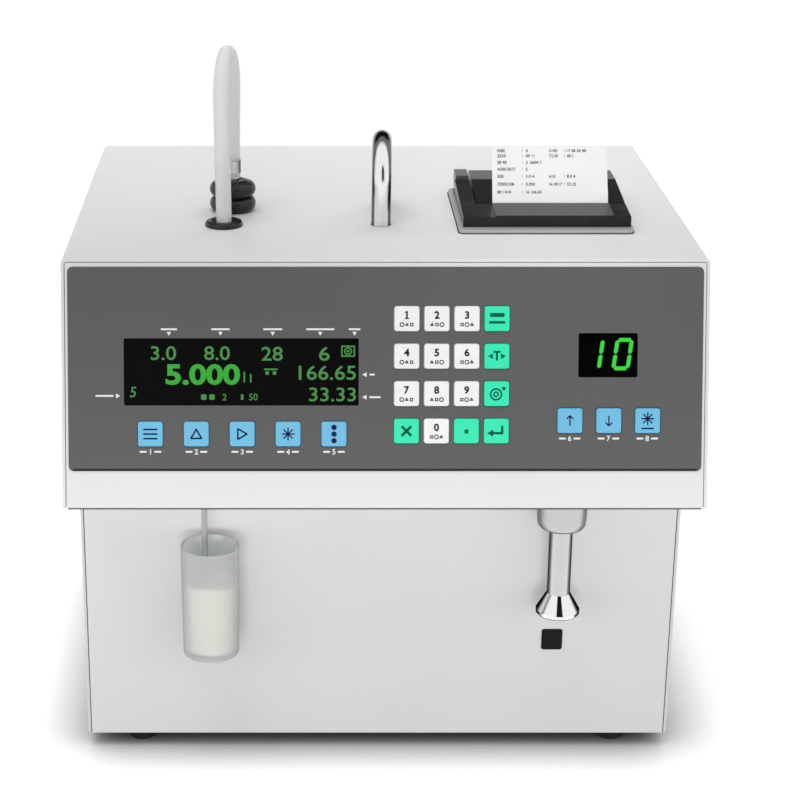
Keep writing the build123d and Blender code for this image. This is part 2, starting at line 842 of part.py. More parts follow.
# Inlet tube, up through the underside and back to the measuring cell
cell_front_y = panel_y + panel_fold
with BuildPart() as inlet_tube:
    with BuildLine() as inlet_path:
        FilletPolyline(
            (tube_x, station_y, tube_end),
            (tube_x, station_y, tube_turn_z),
            (tube_x, cell_front_y - seat_gap, tube_turn_z),
            radius=tube_turn_r,
        )
    with BuildSketch(Plane.XY.offset(tube_end)):
        with Locations((tube_x, station_y)):
            Circle(tube_r)
            Circle(tube_bore, mode=Mode.SUBTRACT)
    sweep(path=inlet_path.wires()[0])
    with BuildSketch(Plane.XY.offset(head_bottom + sheet + seat_gap)):
        with Locations((tube_x, station_y)):
            RegularPolygon(tube_collar_r, 6)
            Circle(tube_r - seat_gap, mode=Mode.SUBTRACT)
    extrude(amount=tube_collar_h)
inlet_tube.part.label = "inlet_tube"
export_step(inlet_tube.part, "parts/inlet_tube.step")

# Measuring cell on two legs, with its outlet into the pump
pump_front_y = hose_front[1] - pump_d / 2
with BuildPart() as measuring_cell:
    with Locations((tube_x, cell_front_y, cell_low)):
        Box(cell_w, cell_d, cell_high - cell_low, align=(Align.CENTER, Align.MIN, Align.MIN))
    chamfer(measuring_cell.edges().filter_by(Axis.Z), sheet)
    with Locations((tube_x, cell_front_y + cell_d / 2, floor_top + seat_gap)):
        with GridLocations(cell_w - cell_leg, 0, 2, 1):
            Box(cell_leg, cell_d / 2, cell_low - floor_top, align=(Align.CENTER, Align.CENTER, Align.MIN))
        Box(cell_w + cell_leg, cell_d, cell_foot_t, align=(Align.CENTER, Align.CENTER, Align.MIN))
    with BuildSketch(Plane.YZ.offset(tube_x)):
        with Locations((cell_front_y + cell_d / 2, (cell_low + cell_high) / 2)):
            Circle(cell_d / 2 - sheet)
    extrude(amount=cell_w / 2 + cell_leg, both=True)
measuring_cell.part.label = "measuring_cell"
export_step(measuring_cell.part, "parts/measuring_cell.step")

# Pump: round cavity for the rotor, motor behind, foot on the floor
pump_back_y = pump_front_y + pump_d
pump_x = hose_front[0]
barb_top = hose_end_z + 4 * hose_r
with BuildPart() as pump_head:
    with BuildSketch(Plane.XZ.offset(-pump_back_y)) as pump_outline:
        with Locations((pump_x, pump_z)):
            RectangleRounded(pump_size, pump_size, pump_corner)
    extrude(amount=pump_d)
    with BuildSketch(Plane.XZ.offset(-pump_front_y)):
        with Locations((pump_x, pump_z)):
            Circle(pump_cavity)
    extrude(amount=-(pump_d - pump_floor), mode=Mode.SUBTRACT)
    with BuildSketch(Plane.XZ.offset(-pump_back_y)):
        with Locations((pump_x, pump_z)):
            Circle(motor_r)
    extrude(amount=-motor_length)
    with BuildSketch(Plane.XZ.offset(-pump_back_y)):
        with Locations((pump_x, floor_top + seat_gap)):
            Rectangle(pump_size, pump_z - floor_top, align=(Align.CENTER, Align.MIN))
    extrude(amount=pump_floor)
    with BuildSketch(Plane.XY.offset(floor_top + seat_gap)):
        with Locations((pump_x, pump_back_y - pump_floor)):
            Rectangle(pump_size, pump_size / 2, align=(Align.CENTER, Align.MIN))
    extrude(amount=pump_floor)
    with BuildSketch(Plane.XY.offset(pump_z + pump_size / 2)):
        with Locations(hose_front):
            Circle(hose_bore - seat_gap)
    extrude(amount=barb_top - pump_z - pump_size / 2)
pump_head.part.label = "pump_head"
export_step(pump_head.part, "parts/pump_head.step")

# Pump rotor with three rollers between two discs
rotor_back_y = pump_back_y - pump_floor - wall_gap
disc_t = 2
with BuildPart() as pump_rotor:
    with BuildSketch(Plane.XZ.offset(-rotor_back_y)):
        with Locations((pump_x, pump_z)):
            Circle(rotor_r - roller_r / 2)
    extrude(amount=disc_t)
    with BuildSketch(Plane.XZ.offset(-rotor_back_y + rotor_d)):
        with Locations((pump_x, pump_z)):
            Circle(rotor_r - roller_r / 2)
    extrude(amount=-disc_t)
    with BuildSketch(Plane.XZ.offset(-rotor_back_y)):
        with Locations((pump_x, pump_z)):
            Circle(rotor_hub)
            with PolarLocations(rotor_r - roller_r, roller_count):
                Circle(roller_r)
    extrude(amount=rotor_d)
pump_rotor.part.label = "pump_rotor"
export_step(pump_rotor.part, "parts/pump_rotor.step")

# Clear hose: from the pump up through the top, over in a loop and down on the stub
hose_span = Vector(hose_rear[0] - hose_front[0], hose_rear[1] - hose_front[1], 0)
hose_mid = ((hose_front[0] + hose_rear[0]) / 2, (hose_front[1] + hose_rear[1]) / 2, 0)
hose_half = hose_span.length / 2
hose_plane = Plane(origin=hose_mid, x_dir=hose_span, z_dir=(hose_span.Y, -hose_span.X, 0))
hose_points = [
    (-hose_half, hose_end_z),
    (-hose_half, case_height + hose_rise),
    (-hose_front_lean, case_height + hose_crest),
    (hose_rear_lean, case_height + hose_crest),
    (hose_half, case_height + hose_down),
    (hose_half, case_height + hose_tip),
]
hose_radii = [hose_start_r, hose_arch_r, hose_arch_r, hose_end_r]
with BuildPart() as loop_hose:
    with BuildLine(hose_plane) as hose_path:
        FilletPolyline(*hose_points, radius=hose_radii)
    with BuildSketch(Plane.XY.offset(hose_end_z)):
        with Locations(hose_front):
            Circle(hose_r)
            Circle(hose_bore, mode=Mode.SUBTRACT)
    sweep(path=hose_path.wires()[0])
loop_hose.part.label = "loop_hose"
export_step(loop_hose.part, "parts/loop_hose.step")
print("hose radii", hose_radii, "length", round(hose_path.wires()[0].length, 1))

# Grommets: a flat one round the front leg and bellows round the stub
with BuildPart() as hose_grommets:
    with BuildSketch(Plane.XY.offset(case_height - sheet - seat_gap - grommet_lip)):
        with Locations(hose_front):
            Circle(grommet_r - grommet_lip)
        with Locations(hose_rear):
            Circle(bellows_r - grommet_lip)
    extrude(amount=grommet_lip)
    with BuildSketch(Plane.XY.offset(case_height - 2 * sheet)):
        with Locations(hose_front):
            Circle(grommet_neck)
        with Locations(hose_rear):
            Circle(bellows_neck)
    extrude(amount=2 * sheet + grommet_h / 2)
    with BuildSketch(Plane.XY.offset(case_height + seat_gap / 2)):
        with Locations(hose_front):
            Circle(grommet_r)
    extrude(amount=grommet_h - seat_gap / 2)
    with BuildSketch(Plane.XZ.offset(-hose_rear[1])):
        with BuildLine():
            bellows_low_z = case_height + seat_gap / 2
            bellows_low = (hose_rear[0] + bellows_neck + sheet, bellows_low_z)
            bellows_waist = (hose_rear[0] + bellows_neck, case_height + bellows_h * bellows_waist_share)
            bellows_lip = (hose_rear[0] + bellows_top, case_height + bellows_h)
            low_bulge = (hose_rear[0] + bellows_r, case_height + bellows_h * low_bulge_share)
            high_bulge = (hose_rear[0] + bellows_r, case_height + bellows_h * high_bulge_share)
            ThreePointArc(bellows_low, low_bulge, bellows_waist)
            ThreePointArc(bellows_waist, high_bulge, bellows_lip)
            Line(bellows_lip, (hose_rear[0], case_height + bellows_h))
            Line((hose_rear[0], case_height + bellows_h), (hose_rear[0], bellows_low_z))
            Line((hose_rear[0], bellows_low_z), bellows_low)
        make_face()
    revolve(axis=Axis((hose_rear[0], hose_rear[1], 0), (0, 0, 1)))
    with BuildSketch(Plane.XY.offset(case_height)):
        with Locations(hose_front):
            Circle(hose_r + seat_gap)
        with Locations(hose_rear):
            Circle(stub_r + seat_gap)
    extrude(amount=2 * bellows_h, both=True, mode=Mode.SUBTRACT)
hose_grommets.part.label = "hose_grommets"
export_step(hose_grommets.part, "parts/hose_grommets.step")

# Return manifold: the stub under the hose, a block across to the outlet pipe and its leg
block_top = block_low + block_h
with BuildPart() as return_manifold:
    with BuildSketch(Plane.XY.offset(block_low)):
        with Locations((hose_rear[0] - block_reach, hose_rear[1] - block_reach)):
            Rectangle(pipe_x - hose_rear[0] + 2 * block_reach, 2 * block_reach, align=(Align.MIN, Align.MIN))
        with Locations((pipe_x, pipe_y - block_reach)):
            Rectangle(2 * block_reach, hose_rear[1] - pipe_y + block_reach, align=(Align.CENTER, Align.MIN))
    extrude(amount=block_h)
    with Locations((pipe_x, hose_rear[1], floor_top + seat_gap)):
        Box(block_leg, block_leg, block_low - floor_top, align=(Align.CENTER, Align.CENTER, Align.MIN))
        Box(2 * block_leg, 2 * block_leg, pump_floor, align=(Align.CENTER, Align.CENTER, Align.MIN))
    with BuildSketch(Plane.XY.offset(block_top)):
        with Locations(hose_rear):
            Circle(stub_r)
    extrude(amount=stub_top - block_top)
    with BuildSketch(Plane.XY.offset(stub_top)):
        with Locations(hose_rear):
            Circle(stub_bore)
    extrude(amount=-(stub_top - block_top), mode=Mode.SUBTRACT)
return_manifold.part.label = "return_manifold"
export_step(return_manifold.part, "parts/return_manifold.step")

# Outlet pipe: up through the top, over towards the back, mouth down
pipe_centre_z = pipe_top - pipe_r - pipe_bend
pipe_plane = Plane(
    origin=(pipe_x, pipe_y, 0),
    x_dir=(sin(radians(pipe_turn)), cos(radians(pipe_turn)), 0),
    z_dir=(cos(radians(pipe_turn)), -sin(radians(pipe_turn)), 0),
)
with BuildPart() as outlet_pipe:
    with BuildLine(pipe_plane) as pipe_path:
        Line((0, block_top + seat_gap), (0, pipe_centre_z))
        ThreePointArc((0, pipe_centre_z), (pipe_bend, pipe_centre_z + pipe_bend), (2 * pipe_bend, pipe_centre_z))
        Line((2 * pipe_bend, pipe_centre_z), (2 * pipe_bend, pipe_mouth))
    with BuildSketch(Plane.XY.offset(block_top + seat_gap)):
        with Locations((pipe_x, pipe_y)):
            Circle(pipe_r)
            Circle(pipe_bore, mode=Mode.SUBTRACT)
    sweep(path=pipe_path.wires()[0])
outlet_pipe.part.label = "outlet_pipe"
export_step(outlet_pipe.part, "parts/outlet_pipe.step")

# Stirrer: boss under the head, horn through it, transducer above
boss_top = head_bottom - seat_gap
with BuildPart() as stirrer_boss:
    with BuildSketch(Plane.XZ.offset(-station_y)):
        with BuildLine():
            Polyline(
                (horn_x, boss_top),
                (horn_x + boss_r, boss_top),
                (horn_x + boss_r, boss_top - boss_h + 2 * boss_taper),
                (horn_x + boss_r - boss_taper, boss_top - boss_h),
                (horn_x, boss_top - boss_h),
                close=True,
            )
        make_face()
    revolve(axis=Axis((horn_x, station_y, 0), (0, 0, 1)))
    with BuildSketch(Plane.XY.offset(boss_top)):
        with Locations((horn_x, station_y)):
            Circle(horn_hole_r - seat_gap)
    extrude(amount=sheet)
    with Locations((horn_x, station_y, boss_top)):
        Hole(horn_shaft_r + seat_gap)
stirrer_boss.part.label = "stirrer_boss"
export_step(stirrer_boss.part, "parts/stirrer_boss.step")

horn_top = head_bottom + sheet
with BuildPart() as stirrer_horn:
    with BuildSketch(Plane.XZ.offset(-station_y)):
        with BuildLine():
            Polyline(
                (horn_x, horn_bottom),
                (horn_x + horn_cone_r - horn_rim / 2, horn_bottom),
                (horn_x + horn_cone_r, horn_bottom + horn_rim / 2),
                (horn_x + horn_cone_r, horn_bottom + 2 * horn_rim),
                (horn_x + horn_shaft_r, horn_cone_top),
                (horn_x + horn_shaft_r, horn_top),
                (horn_x, horn_top),
                close=True,
            )
        make_face()
    revolve(axis=Axis((horn_x, station_y, 0), (0, 0, 1)))
stirrer_horn.part.label = "stirrer_horn"
export_step(stirrer_horn.part, "parts/stirrer_horn.step")

with BuildPart() as stirrer_transducer:
    with BuildSketch(Plane.XY.offset(horn_top + seat_gap)):
        with Locations((horn_x, station_y)):
            Circle(transducer_r)
    extrude(amount=transducer_h)
    for index in range(ring_count):
        groove_z = horn_top + transducer_h * (index + 1.5) / (ring_count + 2)
        with BuildSketch(Plane.XY.offset(groove_z)):
            with Locations((horn_x, station_y)):
                Circle(transducer_r + ring_groove)
                Circle(transducer_r - ring_groove, mode=Mode.SUBTRACT)
        extrude(amount=ring_groove, mode=Mode.SUBTRACT)
stirrer_transducer.part.label = "stirrer_transducer"
export_step(stirrer_transducer.part, "parts/stirrer_transducer.step")

# Cup sensor: square head on the panel, body through it
with BuildPart() as cup_sensor:
    with BuildSketch(Plane.XZ.offset(-panel_y + seat_gap)):
        with Locations((sensor_x, sensor_z)):
            RectangleRounded(sensor_w, sensor_h, sensor_corner)
    extrude(amount=sensor_proud)
    with BuildSketch(Plane.XZ.offset(-panel_y + seat_gap)):
        with Locations((sensor_x, sensor_z)):
            Rectangle(
                sensor_w - 2 * sensor_corner - 2 * seat_gap,
                sensor_h - 2 * sensor_corner - 2 * seat_gap,
            )
    extrude(amount=-sensor_body)
cup_sensor.part.label = "cup_sensor"
export_step(cup_sensor.part, "parts/cup_sensor.step")

# Printer flange on the top sheet
bucket_mid_x = (bucket_left + bucket_right) / 2
bucket_mid_y = (bucket_front + bucket_back) / 2
bucket_w = bucket_right - bucket_left
bucket_d = bucket_back - bucket_front
flange_low = case_height + seat_gap / 2
flange_top = case_height + flange_t
with BuildPart() as printer_flange:
    with BuildSketch(Plane.XY.offset(flange_low)):
        with Locations(((printer_left + printer_right) / 2, (printer_front + printer_back) / 2)):
            RectangleRounded(printer_right - printer_left, printer_back - printer_front, flange_corner)
        with Locations((bucket_mid_x, bucket_mid_y)):
            Rectangle(bucket_w + 2 * seat_gap, bucket_d + 2 * seat_gap, mode=Mode.SUBTRACT)
    extrude(amount=flange_top - flange_low)
printer_flange.part.label = "printer_flange"
export_step(printer_flange.part, "parts/printer_flange.step")

# Printer frame: bucket for the roll, sloping front bezel and left rail, ears for the lid
body_z = flange_top + seat_gap
front_top_z = case_height + flange_t + body_low
slot_top_z = front_top_z + body_slope * (slot_front - body_front)
rail_top_z = front_top_z + body_slope * (rail_back - body_front)
lid_left = rail_right + 2 * wall_gap
ear_left_x = lid_left + lid_wall + ear_gap
ear_right_x = bucket_right - ear_w
with BuildPart() as printer_frame:
    with Locations((bucket_mid_x, bucket_mid_y, body_z)):
        Box(bucket_w, bucket_d, bucket_depth, align=(Align.CENTER, Align.CENTER, Align.MAX))
    with Locations((bucket_mid_x, bucket_mid_y, body_z)):
        Box(
            bucket_w - 2 * bucket_wall,
            bucket_d - 2 * bucket_wall,
            bucket_depth - bucket_wall,
            align=(Align.CENTER, Align.CENTER, Align.MAX),
            mode=Mode.SUBTRACT,
        )
    with BuildSketch(Plane.YZ.offset(body_left)):
        with BuildLine():
            Polyline(
                (body_front, body_z),
                (body_front, front_top_z),
                (slot_front, slot_top_z),
                (slot_front, slot_top_z - bezel_wall),
                (body_front + bezel_wall, front_top_z - bezel_wall),
                (body_front + bezel_wall, body_z),
                close=True,
            )
        make_face()
    extrude(amount=body_right - body_left)
    with BuildSketch(Plane.YZ.offset(body_right - bezel_wall)):
        with BuildLine():
            Polyline(
                (body_front, body_z),
                (body_front, front_top_z),
                (slot_front, slot_top_z),
                (slot_front, body_z),
                close=True,
            )
        make_face()
    extrude(amount=bezel_wall)
    with BuildSketch(Plane.YZ.offset(body_left)):
        with BuildLine():
            Polyline(
                (body_front, body_z),
                (body_front, front_top_z),
                (rail_back, rail_top_z),
                (rail_back, body_z),
                close=True,
            )
        make_face()
    extrude(amount=rail_right - body_left)
    with BuildSketch(Plane.XY.offset(body_z)):
        with Locations((body_left, lever_front)):
            Rectangle(rail_right - body_left, lever_back - lever_front, align=(Align.MIN, Align.MIN))
        with Locations((rail_right - bezel_wall, body_front)):
            Rectangle(bezel_wall, lever_back - body_front, align=(Align.MIN, Align.MIN))
    extrude(amount=seat_gap * 5)
    for ear_x in (ear_left_x, ear_right_x):
        with BuildSketch(Plane.YZ.offset(ear_x)):
            with Locations((hinge_y, hinge_z)):
                Circle(ear_r)
            with Locations((bucket_back, body_z - bucket_wall)):
                Rectangle(2 * ear_r, hinge_z - body_z + bucket_wall, align=(Align.MAX, Align.MIN))
        extrude(amount=ear_w)
    with BuildSketch(Plane.YZ.offset(bucket_left)):
        with Locations((hinge_y, hinge_z)):
            Circle(pin_r + wall_gap)
    extrude(amount=bucket_w + overrun, mode=Mode.SUBTRACT)
    with BuildSketch(Plane.YZ.offset(bucket_left)):
        with Locations((roll_y, roll_z)):
            Circle(spindle_r)
    extrude(amount=paper_x - paper_w / 2 + spindle_in - bucket_left)
    with BuildSketch(Plane.YZ.offset(bucket_right)):
        with Locations((roll_y, roll_z)):
            Circle(spindle_r)
    extrude(amount=-(bucket_right - paper_x - paper_w / 2 + spindle_in))
printer_frame.part.label = "printer_frame"
export_step(printer_frame.part, "parts/printer_frame.step")

# Printer lid: sloping cover behind the slot, on a barrel between the ears, with the roller's cheeks
lid_low = body_z + lid_lift
lid_slot_z = front_top_z + body_slope * (slot_back - body_front)
lid_back_z = front_top_z + body_slope * (body_back - body_front)
lid_front_low = platen_z + platen_r
barrel_left = ear_left_x + ear_w + wall_gap
barrel_right = ear_right_x - wall_gap
cheek_left = paper_x - paper_w / 2 - 2 * wall_gap - platen_cheek
cheek_right = paper_x + paper_w / 2 + 2 * wall_gap
with BuildPart() as printer_lid:
    with BuildSketch(Plane.YZ.offset(lid_left)):
        with BuildLine():
            Polyline(
                (slot_back, lid_low),
                (slot_back, lid_slot_z),
                (body_back, lid_back_z),
                (body_back, lid_low),
                close=True,
            )
        make_face()
    extrude(amount=body_right - lid_left)
    with BuildSketch(Plane.YZ.offset(lid_left + lid_wall)):
        with BuildLine():
            Polyline(
                (slot_back + lid_wall, lid_low - overrun),
                (slot_back + lid_wall, lid_slot_z - lid_wall),
                (body_back + overrun, lid_back_z - lid_wall),
                (body_back + overrun, lid_low - overrun),
                close=True,
            )
        make_face()
    extrude(amount=body_right - lid_left - 2 * lid_wall, mode=Mode.SUBTRACT)
    with BuildSketch(Plane.YZ.offset(cheek_left - wall_gap)):
        with Locations((slot_back - overrun, lid_low - overrun)):
            Rectangle(lid_wall + 1.5 * overrun, overrun + lid_front_low - lid_low, align=(Align.MIN, Align.MIN))
    extrude(amount=cheek_right + platen_cheek + wall_gap - cheek_left, mode=Mode.SUBTRACT)
    with BuildSketch(Plane.YZ.offset(barrel_left)):
        with Locations((hinge_y, hinge_z)):
            Circle(hinge_r)
        with Locations((body_back, hinge_z)):
            Rectangle(lid_wall, lid_back_z - lid_wall / 2 - hinge_z, align=(Align.MAX, Align.MIN))
    extrude(amount=barrel_right - barrel_left)
    with BuildSketch(Plane.YZ.offset(ear_left_x + wall_gap)):
        with Locations((hinge_y, hinge_z)):
            Circle(pin_r)
    extrude(amount=ear_right_x + ear_w - 2 * wall_gap - ear_left_x)
    for cheek_x in (cheek_left, cheek_right):
        with BuildSketch(Plane.YZ.offset(cheek_x)):
            with Locations((platen_y, platen_z)):
                Circle(platen_shaft + sheet)
            with Locations((platen_y, platen_z)):
                Rectangle(2 * platen_shaft + sheet, lid_slot_z - lid_wall / 2 - platen_z, align=(Align.CENTER, Align.MIN))
            with Locations((platen_y, platen_z)):
                Circle(platen_shaft + wall_gap, mode=Mode.SUBTRACT)
        extrude(amount=platen_cheek)
printer_lid.part.label = "printer_lid"
export_step(printer_lid.part, "parts/printer_lid.step")

# Platen roller in the lid
with BuildPart() as platen_roller:
    with BuildSketch(Plane.YZ.offset(paper_x)):
        with Locations((platen_y, platen_z)):
            Circle(platen_r)
    extrude(amount=paper_w / 2, both=True)
    with BuildSketch(Plane.YZ.offset(paper_x)):
        with Locations((platen_y, platen_z)):
            Circle(platen_shaft)
    extrude(amount=paper_w / 2 + 2 * wall_gap + platen_cheek, both=True)
platen_roller.part.label = "platen_roller"
export_step(platen_roller.part, "parts/platen_roller.step")

# Print head block against the front wall of the bucket
with BuildPart() as print_head:
    with Locations((paper_x, bucket_front + bucket_wall + seat_gap, head_z)):
        Box(
            paper_w + 2 * sheet,
            head_face - bucket_front - bucket_wall - seat_gap,
            head_h,
            align=(Align.CENTER, Align.MIN, Align.MIN),
        )
    chamfer(print_head.edges().filter_by(Axis.X).group_by(Axis.Y)[-1], sheet)
print_head.part.label = "print_head"
export_step(print_head.part, "parts/print_head.step")

# Paper roll on the spindles of the bucket
with BuildPart() as paper_roll:
    with BuildSketch(Plane.YZ.offset(paper_x)):
        with Locations((roll_y, roll_z)):
            Circle(roll_r)
            Circle(roll_core, mode=Mode.SUBTRACT)
    extrude(amount=paper_w / 2, both=True)
paper_roll.part.label = "paper_roll"
export_step(paper_roll.part, "parts/paper_roll.step")

# Paper strip: off the roll's top, round the front of the platen roller, out of the slot, leaning back
nip_r = platen_r + paper_gap + paper_t / 2
over_r = roll_r + paper_gap + paper_t / 2
centre_dy = platen_y - roll_y
centre_dz = platen_z - roll_z
centre_line = Vector(centre_dy, centre_dz)
cross_angle = radians(centre_line.get_angle(Vector(-1, 0)))
inner_share = (nip_r + over_r) / centre_line.length
tangent_way = Vector((1 - inner_share**2) ** 0.5, inner_share)
rise_angle = cross_angle - radians(tangent_way.get_angle(Vector(1, 0)))
roll_tangent = (roll_y + over_r * sin(rise_angle), roll_z + over_r * cos(rise_angle))
nip_tangent = (platen_y - nip_r * sin(rise_angle), platen_z - nip_r * cos(rise_angle))
nip_middle_angle = (rise_angle + radians(90)) / 2
nip_middle = (platen_y - nip_r * sin(nip_middle_angle), platen_z - nip_r * cos(nip_middle_angle))
nip_front = (platen_y - nip_r, platen_z)
lean_sin = sin(radians(paper_lean))
lean_cos = cos(radians(paper_lean))
lean_start = (nip_front[0], paper_lean_z)
lean_end = (nip_front[0] + paper_lean_r * (1 - lean_cos), paper_lean_z + paper_lean_r * lean_sin)
strip_end = (lean_end[0] + (paper_top - lean_end[1]) * lean_sin / lean_cos, paper_top)
half_lean = radians(paper_lean / 2)
lean_middle = (
    nip_front[0] + paper_lean_r * (1 - cos(half_lean)),
    paper_lean_z + paper_lean_r * sin(half_lean),
)
with BuildPart() as paper_strip:
    with BuildSketch(Plane.YZ.offset(paper_x)):
        with BuildLine() as strip_line:
            Line(roll_tangent, nip_tangent)
            ThreePointArc(nip_tangent, nip_middle, nip_front)
            Line(nip_front, lean_start)
            ThreePointArc(lean_start, lean_middle, lean_end)
            Line(lean_end, strip_end)
        trace(line_width=paper_t)
    extrude(amount=paper_w / 2, both=True)
paper_strip.part.label = "paper_strip"
export_step(paper_strip.part, "parts/paper_strip.step")

# Release lever at the rear left, on a pin along X at its back
lever_axis_y = lever_back - 2 * lever_r
with BuildPart() as release_lever:
    with BuildSketch(Plane.YZ.offset(lever_left)):
        with BuildLine():
            Polyline(
                (lever_front, lever_top - overrun),
                (lever_front, lever_top - seam),
                (lever_front + seam, lever_top),
                (lever_back, lever_top),
                (lever_back, lever_axis_z),
                (lever_axis_y + lever_r, lever_axis_z - lever_r),
                (lever_axis_y - lever_r, lever_axis_z - lever_r),
                close=True,
            )
        make_face()
    extrude(amount=lever_right - lever_left)
release_lever.part.label = "release_lever"
export_step(release_lever.part, "parts/release_lever.step")

# Main board on four posts, with its chips and sockets
main_z = floor_top + main_lift
with BuildPart() as main_board:
    with Locations((main_x, main_y, main_z)):
        Box(main_width, main_depth, board_t, align=(Align.CENTER, Align.CENTER, Align.MIN))
        with GridLocations(main_width - 3 * main_post, main_depth - 3 * main_post, 2, 2):
            Cylinder(main_post, main_lift - seat_gap, align=(Align.CENTER, Align.CENTER, Align.MAX))
        with GridLocations(main_width / 3, main_depth / 3, 2, 2):
            Box(main_width / 6, main_depth / 6, 2 * board_t, align=(Align.CENTER, Align.CENTER, Align.MIN))
        with Locations((main_width * 0.36, 0, 0)):
            Box(main_width / 8, main_depth / 2, main_lift, align=(Align.CENTER, Align.CENTER, Align.MIN))
main_board.part.label = "main_board"
export_step(main_board.part, "parts/main_board.step")
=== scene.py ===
# %% [markdown]
# A milk analyzer draws a little milk from a cup, measures it and prints the result on a paper strip.
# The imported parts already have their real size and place, so nothing here moves them. This lesson
# gives them their looks: softened edges, printed signs, finishes, and a stage with lamps and a camera.

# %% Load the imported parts
import json
from contextlib import contextmanager
from math import cos, pi, radians, sin, tan

import bmesh
import bpy
from mathutils import Matrix, Vector

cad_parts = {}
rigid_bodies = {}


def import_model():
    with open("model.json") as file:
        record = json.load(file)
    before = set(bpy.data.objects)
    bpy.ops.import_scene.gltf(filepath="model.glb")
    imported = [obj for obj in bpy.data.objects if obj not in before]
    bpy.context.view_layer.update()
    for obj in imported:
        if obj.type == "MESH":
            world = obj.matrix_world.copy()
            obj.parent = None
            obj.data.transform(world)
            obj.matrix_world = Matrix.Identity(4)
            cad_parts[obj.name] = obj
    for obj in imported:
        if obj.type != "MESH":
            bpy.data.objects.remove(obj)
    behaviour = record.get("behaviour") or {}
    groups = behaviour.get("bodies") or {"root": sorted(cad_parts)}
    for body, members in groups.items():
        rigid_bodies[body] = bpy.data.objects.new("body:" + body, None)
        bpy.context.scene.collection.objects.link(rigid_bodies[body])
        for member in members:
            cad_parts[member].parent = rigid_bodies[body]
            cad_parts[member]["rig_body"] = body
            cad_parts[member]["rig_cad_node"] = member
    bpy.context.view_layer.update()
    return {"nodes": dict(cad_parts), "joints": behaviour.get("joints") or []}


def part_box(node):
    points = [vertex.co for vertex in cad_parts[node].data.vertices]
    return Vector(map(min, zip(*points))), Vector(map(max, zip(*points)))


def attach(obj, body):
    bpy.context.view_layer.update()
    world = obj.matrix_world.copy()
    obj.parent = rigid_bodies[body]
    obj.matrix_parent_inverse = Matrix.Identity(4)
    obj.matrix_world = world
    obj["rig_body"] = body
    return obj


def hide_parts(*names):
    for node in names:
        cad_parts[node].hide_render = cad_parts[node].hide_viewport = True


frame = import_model()
nodes = frame["nodes"]
bpy.ops.object.select_all(action="DESELECT")
mm = 0.001


def middle(node):
    """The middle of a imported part's box."""
    low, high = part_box(node)
    return (low + high) / 2


# %% [markdown]
# The camera comes first, because every later choice is judged through it. Its place and its focal
# length, in pixels of the square picture, were worked out from the case's straight edges.

# %% Camera
picture_side = 800
focal_pixels = 2074.28
sensor_width = 36
camera_place = Vector((-41.33, -1022.37, 526.9)) * mm
camera_pitch = radians(19.921)
picture_shift = 0.13

bpy.ops.object.camera_add(location=camera_place, rotation=(radians(90) - camera_pitch, 0, 0))
camera = bpy.context.active_object
camera.data.sensor_width = sensor_width
camera.data.lens = focal_pixels * sensor_width / picture_side
camera.data.shift_x = picture_shift
camera.data.clip_start = 10 * mm
camera.data.clip_end = 50
bpy.context.scene.camera = camera
print("camera lens", round(camera.data.lens, 2), "mm")

# %% [markdown]
# Keys, windows and printed signs all lie on the tilted face. Each key's press joint gives its middle
# and the direction into the face, so two directions along the face follow from that one.

# %% Directions of the tilted face
presses = {
    joint["child"]: joint
    for joint in frame["joints"]
    if joint["name"].endswith("_press") and "_key_" in joint["child"]
}
press_axis = Vector(presses["number_key_5"]["axis"])
face_right = Vector((1, 0, 0))
face_up = Vector((0, -press_axis.z, press_axis.y))
face_out = -press_axis
face_turn = Matrix((face_right, face_up, face_out)).transposed().to_4x4()

anchor = Vector(presses["number_key_5"]["pos_m"])
face_zero = anchor + face_up * ((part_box("front_fascia")[0].z - anchor.z) / face_up.z)
face_zero.x = 0


def on_face(x, up, out=0):
    """Where a spot of the face lies, measured from the middle of its sharp lower edge."""
    return Matrix.Translation(face_zero + face_right * x + face_up * up + face_out * out) @ face_turn


key_spots = {}
for key_name, joint in presses.items():
    from_zero = Vector(joint["pos_m"]) - face_zero
    key_spots[key_name] = (from_zero.x, from_zero.dot(face_up))
print("keys found on the face:", len(key_spots))

# %% [markdown]
# Modelling by hand means choosing a piece, going into edit mode, choosing some of its faces or edges
# and acting on them. These helpers do that, so that every later cell says only what is chosen and why.

# %% Choosing and shaping
def choose(*pieces):
    """Selects only these pieces and makes the last one active."""
    bpy.ops.object.select_all(action="DESELECT")
    for piece in pieces:
        piece.select_set(True)
    bpy.context.view_layer.objects.active = pieces[-1]


@contextmanager
def shaping(piece):
    """Edit mode on one piece, with all of it selected."""
    choose(piece)
    bpy.ops.object.mode_set(mode="EDIT")
    bpy.ops.mesh.select_all(action="SELECT")
    yield piece
    bpy.ops.object.mode_set(mode="OBJECT")


def pick(piece, kind, passes):
    """In edit mode, selects the faces, edges or corners whose place or normal passes a test."""
    bpy.ops.mesh.select_mode(type=kind)
    bpy.ops.mesh.select_all(action="DESELECT")
    mesh = bmesh.from_edit_mesh(piece.data)
    for item in {"FACE": mesh.faces, "EDGE": mesh.edges, "VERT": mesh.verts}[kind]:
        if passes(item):
            item.select_set(True)
    mesh.select_flush_mode()
    bmesh.update_edit_mesh(piece.data)

# %% Modifiers, places and joins
def apply(piece, kind, **settings):
    """Adds a modifier with its settings and applies it."""
    modifier = piece.modifiers.new(kind, kind)
    for name, value in settings.items():
        setattr(modifier, name, value)
    choose(piece)
    bpy.ops.object.modifier_apply(modifier=modifier.name)


def set_down(piece, place):
    """Moves a piece that was made at the origin, and puts the place into its mesh."""
    piece.matrix_world = place
    choose(piece)
    bpy.ops.object.transform_apply(location=True, rotation=True, scale=True)


def join(pieces):
    """Makes one piece of several."""
    choose(*pieces)
    if len(pieces) > 1:
        bpy.ops.object.join()
    return bpy.context.active_object


